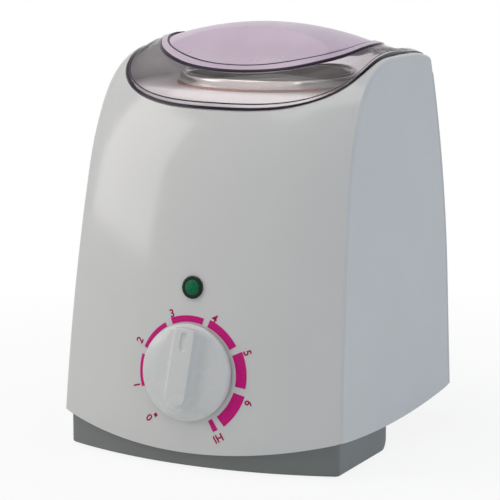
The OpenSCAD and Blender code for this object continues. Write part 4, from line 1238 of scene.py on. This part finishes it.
def stage_material(name, colour):
    mat, nodes, links, shader, place = new_material(name)
    cloud = add_noise(nodes, links, place, 3, 2)
    pale = tuple(c * 1.01 for c in colour)
    ramp = add_ramp(nodes, links, cloud, [(NOISE_LOW, colour), (NOISE_HIGH, pale)])
    links.new(ramp, shader.inputs["Base Color"])
    shader.inputs["Roughness"].default_value = 0.9
    shader.inputs["Specular IOR Level"].default_value = 0.1
    far = nodes.new("ShaderNodeVectorMath")
    far.operation = "LENGTH"
    links.new(place, far.inputs[0])
    share = add_range(nodes, links, far.outputs["Value"], NEAR_WHITE, 1, SHADOW_NEAR, SHADOW_FAR)
    fac = add_math(nodes, links, "MULTIPLY", share, seen_ray(nodes, links))
    white = nodes.new("ShaderNodeEmission")
    mix = nodes.new("ShaderNodeMixShader")
    links.new(fac, mix.inputs["Fac"])
    links.new(shader.outputs["BSDF"], mix.inputs[1])
    links.new(white.outputs["Emission"], mix.inputs[2])
    links.new(mix.outputs["Shader"], nodes["Material Output"].inputs["Surface"])
    return mat


floor_mesh = bpy.data.meshes.new("floor")
floor_mesh.from_pydata([(-6, -6, 0), (6, -6, 0), (6, 6, 0), (-6, 6, 0)], [], [(0, 1, 2, 3)])
floor = bpy.data.objects.new("floor", floor_mesh)
floor_mesh.materials.append(stage_material("floor_white", (0.86, 0.86, 0.86)))
bpy.context.scene.collection.objects.link(floor)

world = bpy.data.worlds.new("studio")
bpy.context.scene.world = world
world.use_nodes = True
world_nodes, world_links = world.node_tree.nodes, world.node_tree.links
sky = world_nodes["Background"]
sky.inputs["Color"].default_value = (0.9, 0.95, 1.0, 1)
sky.inputs["Strength"].default_value = 0.3
white_sky = world_nodes.new("ShaderNodeBackground")
white_sky.inputs["Color"].default_value = (1, 1, 1, 1)
white_sky.inputs["Strength"].default_value = 1.0
mix = world_nodes.new("ShaderNodeMixShader")
world_links.new(seen_ray(world_nodes, world_links), mix.inputs["Fac"])
world_links.new(sky.outputs["Background"], mix.inputs[1])
world_links.new(white_sky.outputs["Background"], mix.inputs[2])
world_links.new(mix.outputs["Shader"], world_nodes["World Output"].inputs["Surface"])


def soft_box(name, place, target, size, power, colour):
    light = bpy.data.lights.new(name, "AREA")
    light.shape = "RECTANGLE"
    light.size, light.size_y = size
    light.energy = power
    light.color = colour
    obj = bpy.data.objects.new(name, light)
    obj.location = place
    obj.rotation_euler = (Vector(target) - Vector(place)).to_track_quat("-Z", "Y").to_euler()
    bpy.context.scene.collection.objects.link(obj)


soft_box("overhead", (-0.25, -0.35, 1.35), (0, 0, 0.08), (1.2, 1.0), 6, (1.0, 0.985, 0.96))
soft_box("left_key", (-1.45, -0.95, 0.8), (0, 0, 0.1), (0.9, 1.1), 8, (1.0, 0.975, 0.945))
soft_box("right_fill", (1.4, 0.3, 0.4), (0, 0, 0.08), (1.0, 1.2), 3.0, (0.38, 0.68, 1.0))
soft_box("right_strip", (1.3, -0.68, 0.3), (0, 0, 0.1), (0.14, 1.1), 1.6, (0.85, 0.93, 1.0))

CAMERA_RIGHT, CAMERA_BEFORE, CAMERA_UP = 527.3, 998.9, 315.2
AZIMUTH, ELEVATION, LENS = radians(26.6), radians(10.55), 172.8
camera_data = bpy.data.cameras.new("camera")
camera_data.lens = LENS
camera_data.sensor_width = 36
camera_data.clip_start = 0.01
camera = bpy.data.objects.new("camera", camera_data)
camera.location = Vector((CAMERA_RIGHT, FRONT_Y - CAMERA_BEFORE, CAMERA_UP)) * MM
towards = Vector((-sin(AZIMUTH) * cos(ELEVATION), cos(AZIMUTH) * cos(ELEVATION), -sin(ELEVATION)))
camera.rotation_euler = towards.to_track_quat("-Z", "Y").to_euler()
bpy.context.scene.collection.objects.link(camera)
bpy.context.scene.camera = camera
bpy.context.scene.view_settings.view_transform = "Standard"
